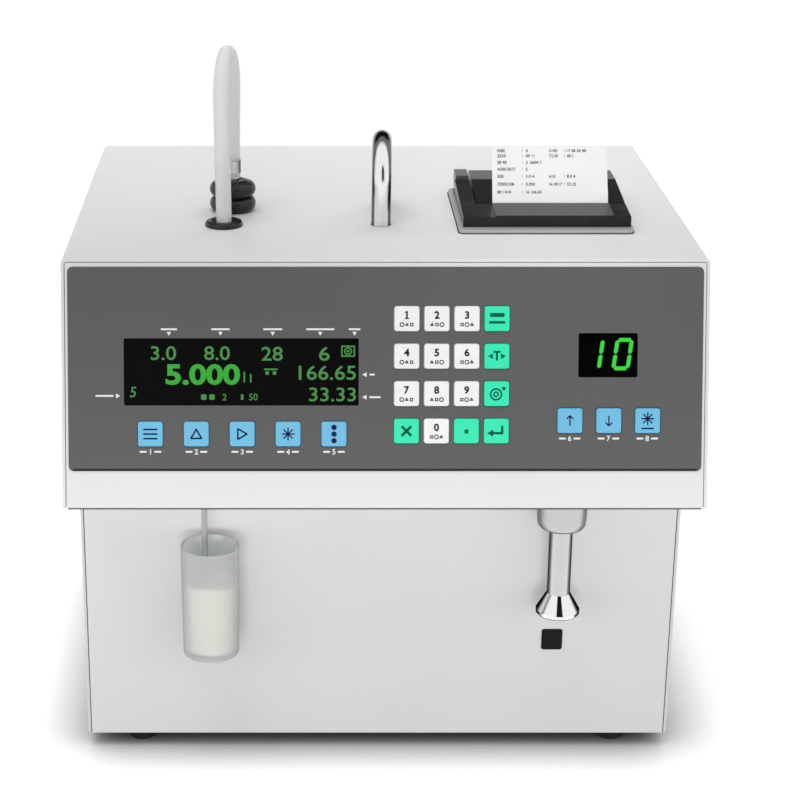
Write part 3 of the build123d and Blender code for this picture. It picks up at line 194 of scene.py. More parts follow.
# %% [markdown]
# A moulded or folded edge is never razor sharp, and its small round is what catches the light. Small
# edges are rounded with the Bevel modifier, and Weighted Normal then keeps the large faces flat.

# %% Rounding the edges
smooth_angle = radians(30)


def round_edges(piece, width, rings=2):
    """Rounds every edge sharper than the smooth angle."""
    choose(piece)
    bpy.ops.object.shade_smooth()
    apply(piece, "BEVEL", width=width, segments=rings, limit_method="ANGLE", angle_limit=smooth_angle)
    apply(piece, "WEIGHTED_NORMAL", keep_sharp=True, weight=50)


def smooth(piece):
    """Smooth shading, apart from edges that are meant to be sharp."""
    choose(piece)
    bpy.ops.object.shade_smooth_by_angle(angle=smooth_angle)


def fit(piece, name, body, slot, finish, *stands_for):
    """Names a finished piece, gives it its finish and lets it ride on its body."""
    piece.name = name
    piece.data.name = name
    piece.data.materials.clear()
    piece.data.materials.append(finish)
    if stands_for:
        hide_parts(*stands_for)
    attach(piece, body)
    print(name, len(piece.data.polygons), "faces, rides on", body)
    return piece


# %% [markdown]
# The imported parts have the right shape, but each is a bag of loose triangles with sharp edges. A
# welded copy with its flat triangles merged can be bevelled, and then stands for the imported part.

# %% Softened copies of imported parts
weld = 0.002 * mm
flat_angle = radians(0.5)


def welded_copy(node):
    """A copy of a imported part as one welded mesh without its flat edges."""
    source = nodes[node]
    piece = source.copy()
    piece.data = source.data.copy()
    bpy.context.scene.collection.objects.link(piece)
    piece.parent = None
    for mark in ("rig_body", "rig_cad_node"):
        del piece[mark]
    choose(piece)
    bpy.ops.mesh.customdata_custom_splitnormals_clear()
    with shaping(piece):
        bpy.ops.mesh.remove_doubles(threshold=weld)
        bpy.ops.mesh.select_all(action="SELECT")
        bpy.ops.mesh.dissolve_limited(angle_limit=flat_angle)
    return piece


def softened(node, width, rings=2):
    """A welded copy with its edges rounded."""
    piece = welded_copy(node)
    round_edges(piece, width, rings)
    return piece

# %% [markdown]
# Round parts are turned as on a lathe: one circle is extruded ring by ring, and each new ring is
# scaled to its own radius. A short list of radius and height pairs describes the whole part.

# %% Turned parts
def turned(centre, rings, sides=64):
    """A closed round part, upright through its centre, from (radius, height) rings."""
    radius, height = rings[0]
    x, y = centre
    bpy.ops.mesh.primitive_circle_add(vertices=sides, radius=radius, location=(x, y, height))
    piece = bpy.context.active_object
    with shaping(piece):
        for new_radius, new_height in rings[1:]:
            bpy.ops.mesh.extrude_edges_move(TRANSFORM_OT_translate={"value": (0, 0, new_height - height)})
            ratio = new_radius / radius
            bpy.ops.transform.resize(value=(ratio, ratio, 1), center_override=(x, y, new_height))
            radius, height = new_radius, new_height
        bpy.ops.mesh.select_all(action="SELECT")
        bpy.ops.mesh.fill_holes(sides=0)
        bpy.ops.mesh.normals_make_consistent(inside=False)
    set_down(piece, piece.matrix_world)
    return piece


# %% [markdown]
# Bent tubes are drawn the way a pipe bender works: the end ring is pushed straight ahead, then spun
# round the middle of each bend. The spin operator turns left-handed, hence the minus on its axis.

# %% Bent tubes
def bent_tube(corners, radii, radius, wall, sides=32, bend_step=radians(6)):
    """A tube that starts upright at the first corner and rounds the others with the given radii."""
    bpy.ops.mesh.primitive_circle_add(vertices=sides, radius=radius, location=corners[0])
    piece = bpy.context.active_object
    here = corners[0]
    with shaping(piece):
        for before, corner, after, bend in zip(corners, corners[1:], corners[2:], radii):
            ahead = (corner - before).normalized()
            turned_to = (after - corner).normalized()
            angle = ahead.angle(turned_to)
            start = corner - ahead * bend * tan(angle / 2)
            bpy.ops.mesh.extrude_edges_move(TRANSFORM_OT_translate={"value": start - here})
            axis = ahead.cross(turned_to).normalized()
            centre = start + axis.cross(ahead) * bend
            steps = max(2, round(angle / bend_step))
            bpy.ops.mesh.spin(steps=steps, angle=angle, center=centre, axis=-axis)
            here = corner + turned_to * bend * tan(angle / 2)
        bpy.ops.mesh.extrude_edges_move(TRANSFORM_OT_translate={"value": corners[-1] - here})
        bpy.ops.mesh.select_all(action="SELECT")
        bpy.ops.mesh.remove_doubles(threshold=weld)
        bpy.ops.mesh.normals_make_consistent(inside=False)
    set_down(piece, piece.matrix_world)
    apply(piece, "SOLIDIFY", thickness=wall, offset=-1)
    smooth(piece)
    return piece


# %% [markdown]
# Shared effects are node groups, made once and placed in many materials. Each puts out a mask from
# 0 to 1 and leaves it to the material what that mask changes. The first is a fine grain, as powder
# coat, moulded plastic and rubber have it. Its size is a length, so it stays true on every part.

# %% Grain group
def new_group(name, inputs):
    """An empty node group with number inputs, and a Mask output."""
    group = bpy.data.node_groups.new(name, "ShaderNodeTree")
    for label, value in inputs.items():
        socket = group.interface.new_socket(label, in_out="INPUT", socket_type="NodeSocketFloat")
        socket.default_value = value
    group.interface.new_socket("Mask", in_out="OUTPUT", socket_type="NodeSocketFloat")
    start = group.nodes.new("NodeGroupInput")
    end = group.nodes.new("NodeGroupOutput")
    return group, start, end


def math_node(tree, operation, first, second=None):
    """A Math node whose inputs are sockets or plain numbers."""
    node = tree.nodes.new("ShaderNodeMath")
    node.operation = operation
    for socket, value in zip(node.inputs, (first, second)):
        if isinstance(value, bpy.types.NodeSocket):
            tree.links.new(value, socket)
        elif value is not None:
            socket.default_value = value
    return node.outputs[0]


grain, grain_in, grain_out = new_group("grain", {"Size": 0.5 * mm, "Roughness": 0.5})
grain_place = grain.nodes.new("ShaderNodeTexCoord")
grain_noise = grain.nodes.new("ShaderNodeTexNoise")
grain_scale = math_node(grain, "DIVIDE", 1.0, grain_in.outputs["Size"])
grain.links.new(grain_scale, grain_noise.inputs["Scale"])
grain.links.new(grain_in.outputs["Roughness"], grain_noise.inputs["Roughness"])
grain.links.new(grain_place.outputs["Object"], grain_noise.inputs["Vector"])
grain.links.new(grain_noise.outputs["Fac"], grain_out.inputs["Mask"])
print("group", grain.name, "made")

# %% [markdown]
# Fingers and cloths leave broad, faint patches that show only in the gloss. The second group is a
# large soft noise whose contrast is raised, so most of a surface stays clean between the patches.

# %% Smudge group
smudge, smudge_in, smudge_out = new_group("smudge", {"Size": 40 * mm, "Clean": 0.5, "Soft": 0.25})
smudge_place = smudge.nodes.new("ShaderNodeTexCoord")
smudge_noise = smudge.nodes.new("ShaderNodeTexNoise")
smudge_noise.inputs["Detail"].default_value = 4
smudge_scale = math_node(smudge, "DIVIDE", 1.0, smudge_in.outputs["Size"])
smudge_edge = math_node(smudge, "SUBTRACT", smudge_noise.outputs["Fac"], smudge_in.outputs["Clean"])
smudge_rise = math_node(smudge, "DIVIDE", smudge_edge, smudge_in.outputs["Soft"])
smudge_clamp = smudge.nodes.new("ShaderNodeClamp")
smudge.links.new(smudge_scale, smudge_noise.inputs["Scale"])
smudge.links.new(smudge_place.outputs["Object"], smudge_noise.inputs["Vector"])
smudge.links.new(smudge_rise, smudge_clamp.inputs["Value"])
smudge.links.new(smudge_clamp.outputs["Result"], smudge_out.inputs["Mask"])
print("group", smudge.name, "made")

# %% [markdown]
# Brushed steel has fine lines all one way. Stretching a noise does that: its coordinates are
# multiplied by a large number across the lines and by a small one along them.

# %% Brush line group
brush_lines = {"Across X": 1500.0, "Across Y": 1500.0, "Along Z": 20.0}
brush, brush_in, brush_out = new_group("brush_lines", brush_lines)
brush_place = brush.nodes.new("ShaderNodeTexCoord")
brush_split = brush.nodes.new("ShaderNodeSeparateXYZ")
brush_join = brush.nodes.new("ShaderNodeCombineXYZ")
brush_noise = brush.nodes.new("ShaderNodeTexNoise")
brush_noise.inputs["Scale"].default_value = 1
brush.links.new(brush_place.outputs["Object"], brush_split.inputs["Vector"])
for letter, label in (("X", "Across X"), ("Y", "Across Y"), ("Z", "Along Z")):
    stretched = math_node(brush, "MULTIPLY", brush_split.outputs[letter], brush_in.outputs[label])
    brush.links.new(stretched, brush_join.inputs[letter])
brush.links.new(brush_join.outputs["Vector"], brush_noise.inputs["Vector"])
brush.links.new(brush_noise.outputs["Fac"], brush_out.inputs["Mask"])
print("group", brush.name, "made")

# %% [markdown]
# A finish starts as a Principled shader with its plain numbers on its own sockets. An effect group
# is then laid over it: its mask can mix two tones, run between two roughnesses, or raise a relief.

# %% Making finishes
def new_finish(name, colour, roughness, **settings):
    """A material whose settings are sockets of the shader, written with _ for a space."""
    finish = bpy.data.materials.new(name)
    finish.use_nodes = True
    shader = finish.node_tree.nodes["Principled BSDF"]
    shader.inputs["Base Color"].default_value = (*colour, 1)
    shader.inputs["Roughness"].default_value = roughness
    for label, value in settings.items():
        shader.inputs[label.replace("_", " ")].default_value = value
    return finish

# %% Laying an effect over a finish
def lay_over(finish, group, values, tones=None, gloss=None, relief=None):
    """Lays an effect over a finish: two tones, two roughnesses or a relief height in metres."""
    tree = finish.node_tree
    shader = tree.nodes["Principled BSDF"]
    effect = tree.nodes.new("ShaderNodeGroup")
    effect.node_tree = group
    for label, value in values.items():
        effect.inputs[label].default_value = value
    mask = effect.outputs["Mask"]
    if tones:
        mix = tree.nodes.new("ShaderNodeMix")
        mix.data_type = "RGBA"
        for socket, colour in zip((mix.inputs[6], mix.inputs[7]), tones):
            socket.default_value = (*colour, 1)
        tree.links.new(mask, mix.inputs[0])
        tree.links.new(mix.outputs[2], shader.inputs["Base Color"])
    if gloss:
        spread = tree.nodes.new("ShaderNodeMapRange")
        spread.inputs["To Min"].default_value, spread.inputs["To Max"].default_value = gloss
        tree.links.new(mask, spread.inputs["Value"])
        tree.links.new(spread.outputs["Result"], shader.inputs["Roughness"])
    if relief:
        bump = tree.nodes.new("ShaderNodeBump")
        bump.inputs["Distance"].default_value = relief
        tree.links.new(mask, bump.inputs["Height"])
        if shader.inputs["Normal"].is_linked:
            tree.links.new(shader.inputs["Normal"].links[0].from_socket, bump.inputs["Normal"])
        tree.links.new(bump.outputs["Normal"], shader.inputs["Normal"])
    return finish


def tone(colour, share):
    """The same colour, lighter or darker by a share."""
    return tuple(min(1, channel * (1 + share)) for channel in colour)


# %% [markdown]
# The case is folded sheet with a light powder coat: an even pale grey, satin, with an orange-peel
# relief too fine to see as bumps, which only softens its highlights. Broad smudges vary the gloss.
# The sheet under the head is painted a lighter tone, which makes up for the shade that the head
# casts on it.

# %% Powder coat
case_grey = (0.8, 0.8, 0.803)
coat_peel = 0.45 * mm


def powder_coated(name, colour, roughness=0.42, peel=coat_peel, depth=0.006 * mm):
    """A satin coat with an orange-peel relief and faint smudges in its gloss."""
    finish = new_finish(name, colour, roughness, Specular_IOR_Level=0.15)
    lay_over(finish, grain, {"Size": peel}, relief=depth)
    lay_over(finish, smudge, {"Size": 60 * mm, "Clean": 0.48}, tones=(colour, tone(colour, -0.02)),
             gloss=(roughness, roughness + 0.1))
    return finish


powder_coat = powder_coated("powder_coat", case_grey)
# A lighter copy of the coat: painted light against the shade under the head.
front_coat_lifted_for_shade = powder_coated("front_coat_lifted_for_shade", tone(case_grey, 0.08))
print("finish", powder_coat.name, tuple(round(c, 2) for c in case_grey))

# %% [markdown]
# The small painted parts have the same coat with other numbers. The printer flange is a mid grey,
# and the stirrer's boss is a smoother light grey with a longer relief, as cast parts have it.

# %% Other painted parts
flange_coat = powder_coated("flange_coat", (0.42, 0.42, 0.425), 0.35)
boss_coat = powder_coated("boss_coat", (0.6, 0.6, 0.61), 0.3, 1.2 * mm, 0.004 * mm)
boss_coat.node_tree.nodes["Principled BSDF"].inputs["Metallic"].default_value = 0.7
print("finishes", flange_coat.name, boss_coat.name)

# %% [markdown]
# The key sheet is a printed film with a fine matt texture on its surface. Its grey is neutral and
# dark, and the texture keeps the lamps from mirroring in it.

# %% Key sheet film
film_grey = (0.119, 0.119, 0.119)
key_film = new_finish("key_film", film_grey, 0.55, Specular_IOR_Level=0.2)
lay_over(key_film, grain, {"Size": 0.22 * mm}, relief=0.008 * mm)
lay_over(key_film, smudge, {"Size": 35 * mm, "Clean": 0.5}, tones=(film_grey, tone(film_grey, -0.015)),
         gloss=(0.56, 0.6))
print("finish", key_film.name)

# %% [markdown]
# Keys are moulded in coloured plastic. A slight mottle and a faint relief keep each colour from
# looking poured, and satin gloss lets their rounded rims catch a thin light line.

# %% Key colours
def moulded(name, colour, roughness=0.38):
    """Coloured plastic with a slight mottle."""
    finish = new_finish(name, colour, roughness, Specular_IOR_Level=0.4)
    lay_over(finish, grain, {"Size": 0.3 * mm}, relief=0.004 * mm)
    lay_over(finish, smudge, {"Size": 5 * mm, "Clean": 0.4, "Soft": 0.4},
             tones=(colour, tone(colour, -0.06)), gloss=(roughness, roughness + 0.08))
    return finish


blue_plastic = moulded("blue_plastic", (0.18, 0.54, 0.79))
white_plastic = moulded("white_plastic", (0.96, 0.96, 0.945))
green_plastic = moulded("green_plastic", (0.045, 0.86, 0.5))
print("finishes", blue_plastic.name, white_plastic.name, green_plastic.name)

# %% [markdown]
# Signs are printed in ink. A thin printed layer is a little uneven, so each ink has a fine grain
# between two near tones.

# %% Inks
def printed(name, colour):
    """A matt ink with a fine grain."""
    finish = new_finish(name, colour, 0.6, Specular_IOR_Level=0.15)
    lay_over(finish, grain, {"Size": 0.15 * mm}, tones=(tone(colour, -0.15), tone(colour, 0.15)))
    return finish


navy_ink = printed("navy_ink", (0.003, 0.018, 0.075))
black_ink = printed("black_ink", (0.006, 0.006, 0.006))
white_ink = printed("white_ink", (0.9, 0.9, 0.9))
teal_ink = printed("teal_ink", (0.003, 0.12, 0.075))
# The next ink is painted shadow, for the thin shade under the key film's lower edge.
film_shadow_ink = printed("film_shadow_ink", (0.028, 0.028, 0.028))
receipt_ink = printed("receipt_ink", (0.02, 0.02, 0.022))
print("inks", 6)

# %% [markdown]
# The large display is a panel of tiny lit dots. Its glow is therefore broken up by a fine grid: two
# coordinates on the face, each taken modulo the dot pitch, are dark near the edge of every dot.

# %% Lit dots of the display
def lit(name, colour, strength, dot_pitch, gap_share, gap_tone=-0.35):
    """A glow made of square dots, in rows along the tilted face."""
    finish = new_finish(name, tone(colour, -0.9), 0.6, Emission_Strength=strength, Specular_IOR_Level=0.1)
    tree = finish.node_tree
    place = tree.nodes.new("ShaderNodeTexCoord")
    turn = tree.nodes.new("ShaderNodeMapping")
    turn.inputs["Rotation"].default_value[0] = -face_turn.to_euler().x
    split = tree.nodes.new("ShaderNodeSeparateXYZ")
    tree.links.new(place.outputs["Object"], turn.inputs["Vector"])
    tree.links.new(turn.outputs["Vector"], split.inputs["Vector"])
    gaps = []
    for letter in ("X", "Y"):
        along = math_node(tree, "DIVIDE", split.outputs[letter], dot_pitch)
        share = math_node(tree, "FRACT", along)
        gaps.append(math_node(tree, "GREATER_THAN", share, gap_share))
    dot = math_node(tree, "MULTIPLY", *gaps)
    mix = tree.nodes.new("ShaderNodeMix")
    mix.data_type = "RGBA"
    mix.inputs[6].default_value = (*tone(colour, gap_tone), 1)
    mix.inputs[7].default_value = (*colour, 1)
    tree.links.new(dot, mix.inputs[0])
    tree.links.new(mix.outputs[2], tree.nodes["Principled BSDF"].inputs["Emission Color"])
    return finish


row_green = lit("row_green", (0.075, 0.27, 0.075), 1.0, 0.34 * mm, 0.15)
large_green = lit("large_green", (0.045, 0.4, 0.045), 1.0, 0.34 * mm, 0.12)
timer_green = lit("timer_green", (0.045, 0.64, 0.055), 1.0, 0.12 * mm, 0.06)
print("finishes", row_green.name, large_green.name, timer_green.name)

# %% [markdown]
# The windows are of the kind that looks black until something shines behind them: a nearly black
# plastic with an anti-glare surface. The lit signs shine through it, so they are laid on its face.

# %% Windows and what lies behind them
window_black = new_finish("window_black", (0.0015, 0.0015, 0.0018), 0.18, Specular_IOR_Level=0.05)
lay_over(window_black, smudge, {"Size": 18 * mm, "Clean": 0.55}, gloss=(0.14, 0.26))
# The next black is painted shade, for the dark line round the printer flange.
gap_shade_black = new_finish("gap_shade_black", (0.002, 0.002, 0.002), 0.7, Specular_IOR_Level=0.02)
lay_over(gap_shade_black, grain, {"Size": 0.4 * mm}, gloss=(0.65, 0.8))
print("finishes", window_black.name, gap_shade_black.name)

# %% [markdown]
# Black parts differ in their shade and in how much of the room they mirror. Gloss shows dust and
# fine scratches first, so the roughness wanders, and the black is lifted a little in the smudges.

# %% Black plastics and rubber
def black_plastic(name, shade, gloss, mirror, peel=0.6 * mm, depth=0.002 * mm):
    """Black plastic: its shade, its two roughnesses and how much of the room it mirrors."""
    finish = new_finish(name, (shade, shade, shade * 1.03), gloss[0], Specular_IOR_Level=mirror)
    lay_over(finish, grain, {"Size": peel}, relief=depth)
    lay_over(finish, smudge, {"Size": 22 * mm, "Clean": 0.5},
             tones=((shade, shade, shade * 1.03), (shade * 1.3, shade * 1.3, shade * 1.33)), gloss=gloss)
    return finish


printer_black = black_plastic("printer_black", 0.02, (0.18, 0.26), 0.12)
plate_black = black_plastic("plate_black", 0.07, (0.36, 0.46), 0.15, 0.3 * mm, 0.008 * mm)
lever_black = black_plastic("lever_black", 0.07, (0.3, 0.4), 0.3)
socket_black = black_plastic("socket_black", 0.02, (0.4, 0.55), 0.4, 0.4 * mm, 0.01 * mm)
sensor_black = black_plastic("sensor_black", 0.009, (0.3, 0.4), 0.1)
foot_rubber = black_plastic("foot_rubber", 0.02, (0.6, 0.8), 0.3, 0.7 * mm, 0.02 * mm)
hose_rubber = black_plastic("hose_rubber", 0.012, (0.26, 0.36), 0.35, 0.5 * mm)
# The next finish is for the seals and for the painted shade line under the head.
seal_and_shade_rubber = black_plastic("seal_and_shade_rubber", 0.07, (0.5, 0.6), 0.15)
print("black finishes", 8)

# %% [markdown]
# Bright metal needs something to mirror, which the stage gives it later. Chrome is almost smooth.
# The horn's shaft and the inlet tube are brushed along their length, which spreads the highlight.
# Round metal mirrors dark surroundings at its sides, which an all white room lacks, so a Layer
# Weight node paints a dark reflection into the colour of the pipe, the horn and the boss where
# they turn away.

# %% Painted dark reflection on the sides of round metal
dark_rim = (0.05, 0.05, 0.05, 1)


def darken_sides(finish, dark, begins, ends):
    """Paints a dark reflection into a metal's colour where it turns away, between two Facing values."""
    tree = finish.node_tree
    base = tree.nodes["Principled BSDF"].inputs["Base Color"]
    turning = tree.nodes.new("ShaderNodeLayerWeight")
    share = tree.nodes.new("ShaderNodeMapRange")
    share.interpolation_type = "SMOOTHSTEP"
    share.inputs["From Min"].default_value = begins
    share.inputs["From Max"].default_value = ends
    tint = tree.nodes.new("ShaderNodeMix")
    tint.data_type = "RGBA"
    tint.inputs[6].default_value = base.default_value
    if base.is_linked:
        tree.links.new(base.links[0].from_socket, tint.inputs[6])
    tint.inputs[7].default_value = (dark, dark, dark, 1)
    tree.links.new(turning.outputs["Facing"], share.inputs["Value"])
    tree.links.new(share.outputs["Result"], tint.inputs["Factor"])
    tree.links.new(tint.outputs[2], base)

# %% [markdown]
# Bare metals differ in their tone and in their lines. Chrome and gold have only smudges, the shaft
# and the drawn tube have lines along them, machined metal has lines round it, and zinc is even.

# %% Metals
chrome_tone, steel_tone = (0.86, 0.86, 0.87), (0.6, 0.6, 0.61)
# Some metals below get a painted dark reflection on the sides that turn away.
bright_chrome = new_finish("bright_chrome", chrome_tone, 0.07, Metallic=1.0, Specular_Tint=dark_rim)
darken_sides(bright_chrome, dark=0.1, begins=0.34, ends=0.52)
lay_over(bright_chrome, smudge, {"Size": 12 * mm, "Clean": 0.5}, gloss=(0.05, 0.11))
satin_chrome = new_finish("satin_chrome", (0.84, 0.84, 0.85), 0.2, Metallic=1.0)
darken_sides(satin_chrome, dark=0.12, begins=0.24, ends=0.38)
lay_over(satin_chrome, smudge, {"Size": 9 * mm, "Clean": 0.5}, gloss=(0.15, 0.24))
brushed_steel = new_finish("brushed_steel", steel_tone, 0.26, Metallic=1.0, Specular_Tint=dark_rim)
darken_sides(brushed_steel, dark=0.2, begins=0.3, ends=0.5)
lay_over(brushed_steel, brush, {}, gloss=(0.2, 0.32), relief=0.001 * mm)
tube_steel = new_finish("tube_steel", (0.4, 0.4, 0.405), 0.26, Metallic=1.0)
lay_over(tube_steel, brush, {}, gloss=(0.2, 0.34))
machined_metal = new_finish("machined_metal", (0.5, 0.51, 0.53), 0.35, Metallic=1.0)
turning_lines = {"Across X": 60.0, "Across Y": 60.0, "Along Z": 2500.0}
lay_over(machined_metal, brush, turning_lines, gloss=(0.28, 0.42), relief=0.003 * mm)
contact_gold = new_finish("contact_gold", (0.8, 0.55, 0.2), 0.25, Metallic=1.0)
lay_over(contact_gold, smudge, {"Size": 1 * mm}, gloss=(0.2, 0.35))
screw_zinc = new_finish("screw_zinc", (0.6, 0.6, 0.6), 0.3, Metallic=1.0)
even_lines = {"Across X": 900.0, "Across Y": 900.0, "Along Z": 900.0}
lay_over(screw_zinc, brush, even_lines, gloss=(0.25, 0.45))
# The boss gets the same painted dark reflection on its sides.
darken_sides(boss_coat, dark=0.2, begins=0.35, ends=0.62)
print("sides darkened on", bright_chrome.name, satin_chrome.name, brushed_steel.name, boss_coat.name)

# %% [markdown]
# The cup is frosted plastic: light goes through and is scattered on the way, so the milk shows as a
# soft shape. The hose is softer and greyer, and lets less through. Both keep plain Metallic and
# Transmission numbers. The cup's shoe is thick, and so looks solid.

# %% Clear plastics and milk
frosted_plastic = new_finish("frosted_plastic", (0.85, 0.86, 0.87), 0.45, Transmission_Weight=0.75, IOR=1.2)
lay_over(frosted_plastic, smudge, {"Size": 14 * mm, "Clean": 0.5}, gloss=(0.42, 0.5))
shoe_plastic = new_finish("shoe_plastic", (0.7, 0.71, 0.72), 0.4)
lay_over(shoe_plastic, grain, {"Size": 0.5 * mm}, gloss=(0.36, 0.46), relief=0.006 * mm)
soft_hose = new_finish("soft_hose", (0.97, 0.975, 0.98), 0.34, Transmission_Weight=0.55, IOR=1.3)
lay_over(soft_hose, smudge, {"Size": 8 * mm, "Clean": 0.45}, gloss=(0.28, 0.38))
milk_cream = (0.97, 0.96, 0.8)
fresh_milk = new_finish("fresh_milk", milk_cream, 0.3)
lay_over(fresh_milk, smudge, {"Size": 9 * mm, "Clean": 0.45}, tones=(milk_cream, tone(milk_cream, -0.03)))
print("finishes", frosted_plastic.name, soft_hose.name, fresh_milk.name)

# %% [markdown]
# Receipt paper is smooth, but its fibres still show in raking light, and a printed circuit board
# has a green mask over copper. Both need only the grain group with their own numbers.

# %% Paper and boards
receipt_paper = new_finish("receipt_paper", (0.92, 0.92, 0.915), 0.6, Specular_IOR_Level=0.3)
lay_over(receipt_paper, grain, {"Size": 0.25 * mm}, tones=((0.905, 0.905, 0.9), (0.935, 0.935, 0.93)),
         relief=0.006 * mm)
board_mask = new_finish("board_mask", (0.03, 0.2, 0.08), 0.4)
lay_over(board_mask, smudge, {"Size": 3 * mm, "Clean": 0.5, "Soft": 0.05},
         tones=((0.02, 0.16, 0.06), (0.035, 0.24, 0.1)), relief=0.03 * mm)
print("finishes", receipt_paper.name, board_mask.name)

# %% [markdown]
# Now the case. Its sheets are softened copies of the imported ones. The edges of folded and cut sheet
# are rounded by a few tenths of a millimetre, which draws the bright lines round the head.

# %% Case sheets
sheet_edge = 0.4 * mm
case_sheets = {
    "hood": ("hood_sheet", powder_coat),
    "front_fascia": ("fascia_sheet", powder_coat),
    "base_case": ("base_sheet", powder_coat),
    # The lower front sheet takes the coat painted lighter against the head's shade.
    "lower_front_panel": ("front_sheet", front_coat_lifted_for_shade),
    "rear_panel": ("rear_sheet", powder_coat),
}
for node, (name, coat) in case_sheets.items():
    fit(softened(node, sheet_edge), name, "case", "case_paint", coat, node)

fit(softened("key_overlay", 0.12 * mm, 1), "key_sheet", "case", "grey_overlay", key_film, "key_overlay")

# %% [markdown]
# Thin dark strips lie where the sheets meet: one under the head's front edge, which paints the
# shade of the head's fold, and a seal at each side of the lower panel. They are the fine dark lines
# that part the pale sheets.

# %% Seals of the sheets
seal_w = 0.45 * mm
seal_round = 0.08 * mm
seal_end_gap = 0.5 * mm


def seal(name, low, high):
    """A dark strip as a softened box between two corners: a seal, or painted shade along a fold."""
    bpy.ops.mesh.primitive_cube_add(size=1, location=(low + high) / 2)
    strip = bpy.context.active_object
    strip.scale = high - low
    bpy.ops.object.transform_apply(location=True, rotation=True, scale=True)
    round_edges(strip, seal_round)
    fit(strip, name, "case", "black_rubber", seal_and_shade_rubber)


front_low, front_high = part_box("lower_front_panel")
head_low, head_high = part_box("front_fascia")
lip_low = Vector((head_low.x + seal_end_gap, head_low.y + 0.3 * mm, head_low.z - 0.5 * mm))
lip_high = Vector((head_high.x - seal_end_gap, head_low.y + 1.3 * mm, head_low.z - 0.02 * mm))
# Painted shade: a dark strip under the head's folded front edge.
seal("lip_shade_strip", lip_low, lip_high)
for name, x in (("left_seal", front_low.x), ("right_seal", front_high.x)):
    seal_low = Vector((x - seal_w / 2, front_low.y - 0.06 * mm, front_low.z + seal_end_gap))
    seal_high = Vector((x + seal_w / 2, front_low.y + 0.4 * mm, head_low.z - 0.1 * mm))
    seal(name, seal_low, seal_high)
print("seals at x", round(front_low.x / mm, 1), round(front_high.x / mm, 1))

# %% [markdown]
# All 24 keys are the same moulding, so one is modelled and copied. Its rim is rounded, and then the
# top is pushed in and made smaller, because a fingertip finds a dished key more easily.

# %% One key as the model for all
key_rim = 0.45 * mm
dish_share = 0.85
dish_depth = 0.1 * mm
model_key = "number_key_5"
key_height = max((v.co - face_zero).dot(face_out) for v in nodes[model_key].data.vertices)
key_top = key_height - dish_depth
key_x, key_up = key_spots[model_key]
key_middle = face_zero + face_right * key_x + face_up * key_up + face_out * key_top


def is_key_top(item):
    """Tells the flat top of the key from its rim and sides."""
    spot = item.calc_center_median()
    level = (spot - face_zero).dot(face_out)
    return item.normal.dot(face_out) > cos(radians(5)) and level > key_height - key_rim / 4


key_model = welded_copy(model_key)
with shaping(key_model):
    pick(key_model, "FACE", is_key_top)
    bpy.ops.mesh.dissolve_faces()
    pick(key_model, "FACE", is_key_top)
    bpy.ops.mesh.bevel(offset=key_rim, segments=3, affect="EDGES")
    pick(key_model, "FACE", is_key_top)
    bpy.ops.mesh.dissolve_faces()
    pick(key_model, "FACE", is_key_top)
    bpy.ops.mesh.extrude_region_move(TRANSFORM_OT_translate={"value": -face_out * dish_depth})
    bpy.ops.transform.resize(value=(dish_share,) * 3, center_override=key_middle)
smooth(key_model)
apply(key_model, "WEIGHTED_NORMAL", keep_sharp=True, weight=50)
print("key model", len(key_model.data.polygons), "faces, top", round(key_height / mm, 2), "mm up")

# %% [markdown]
# Each key's own place on the face then says how far its copy is moved from the model. The first word
# of a key's name gives its colour.

# %% Every key from the model
key_kinds = {
    "function": ("blue_key", blue_plastic),
    "stirrer": ("blue_key", blue_plastic),
    "side": ("green_key", green_plastic),
    "number": ("white_key", white_plastic),
}
for key_name, (x, up) in key_spots.items():
    cap = key_model.copy()
    cap.data = key_model.data.copy()
    bpy.context.scene.collection.objects.link(cap)
    set_down(cap, Matrix.Translation(face_right * (x - key_x) + face_up * (up - key_up)))
    slot, finish = key_kinds[key_name.split("_")[0]]
    fit(cap, key_name + "_cap", key_name, slot, finish, key_name)
bpy.data.objects.remove(key_model)
print("keys made", len(key_spots))

# %% [markdown]
# The signs on keys, film and displays are flat shapes given a hair of thickness, so they are real
# geometry and print their own colour. A few primitives make them all: bars, discs, rings, outlines
# and figures. Each is drawn flat at the origin, in millimetres right and up of the sign's middle.

# %% Flat marks
ink_height = 0.04 * mm
mark_lift = 0.01 * mm


def bar(x, up, width, height, turn=0, corner=0.25):
    """A bar with slightly rounded corners."""
    bpy.ops.mesh.primitive_plane_add(size=1)
    mark = bpy.context.active_object
    mark.scale = (width * mm, height * mm, 1)
    bpy.ops.object.transform_apply(scale=True)
    with shaping(mark):
        bpy.ops.mesh.bevel(offset=corner * min(width, height) * mm, segments=2, affect="VERTICES")
    set_down(mark, Matrix.Translation((x * mm, up * mm, 0)) @ Matrix.Rotation(radians(turn), 4, "Z"))
    return mark


def disc(x, up, radius, sides=20, turn=0):
    """A filled circle, or with few sides a filled polygon."""
    bpy.ops.mesh.primitive_circle_add(vertices=sides, radius=radius * mm, fill_type="NGON")
    mark = bpy.context.active_object
    set_down(mark, Matrix.Translation((x * mm, up * mm, 0)) @ Matrix.Rotation(radians(turn), 4, "Z"))
    return mark


def outline(x, up, radius, line, sides=24, turn=0, corner=0):
    """A ring, or with few sides the outline of a polygon."""
    mark = disc(0, 0, radius, sides)
    with shaping(mark):
        if corner:
            bpy.ops.mesh.bevel(offset=corner * mm, segments=3, affect="VERTICES")
            bpy.ops.mesh.select_all(action="SELECT")
        bpy.ops.mesh.inset(thickness=line * mm)
        bpy.ops.mesh.delete(type="FACE")
    set_down(mark, Matrix.Translation((x * mm, up * mm, 0)) @ Matrix.Rotation(radians(turn), 4, "Z"))
    return mark

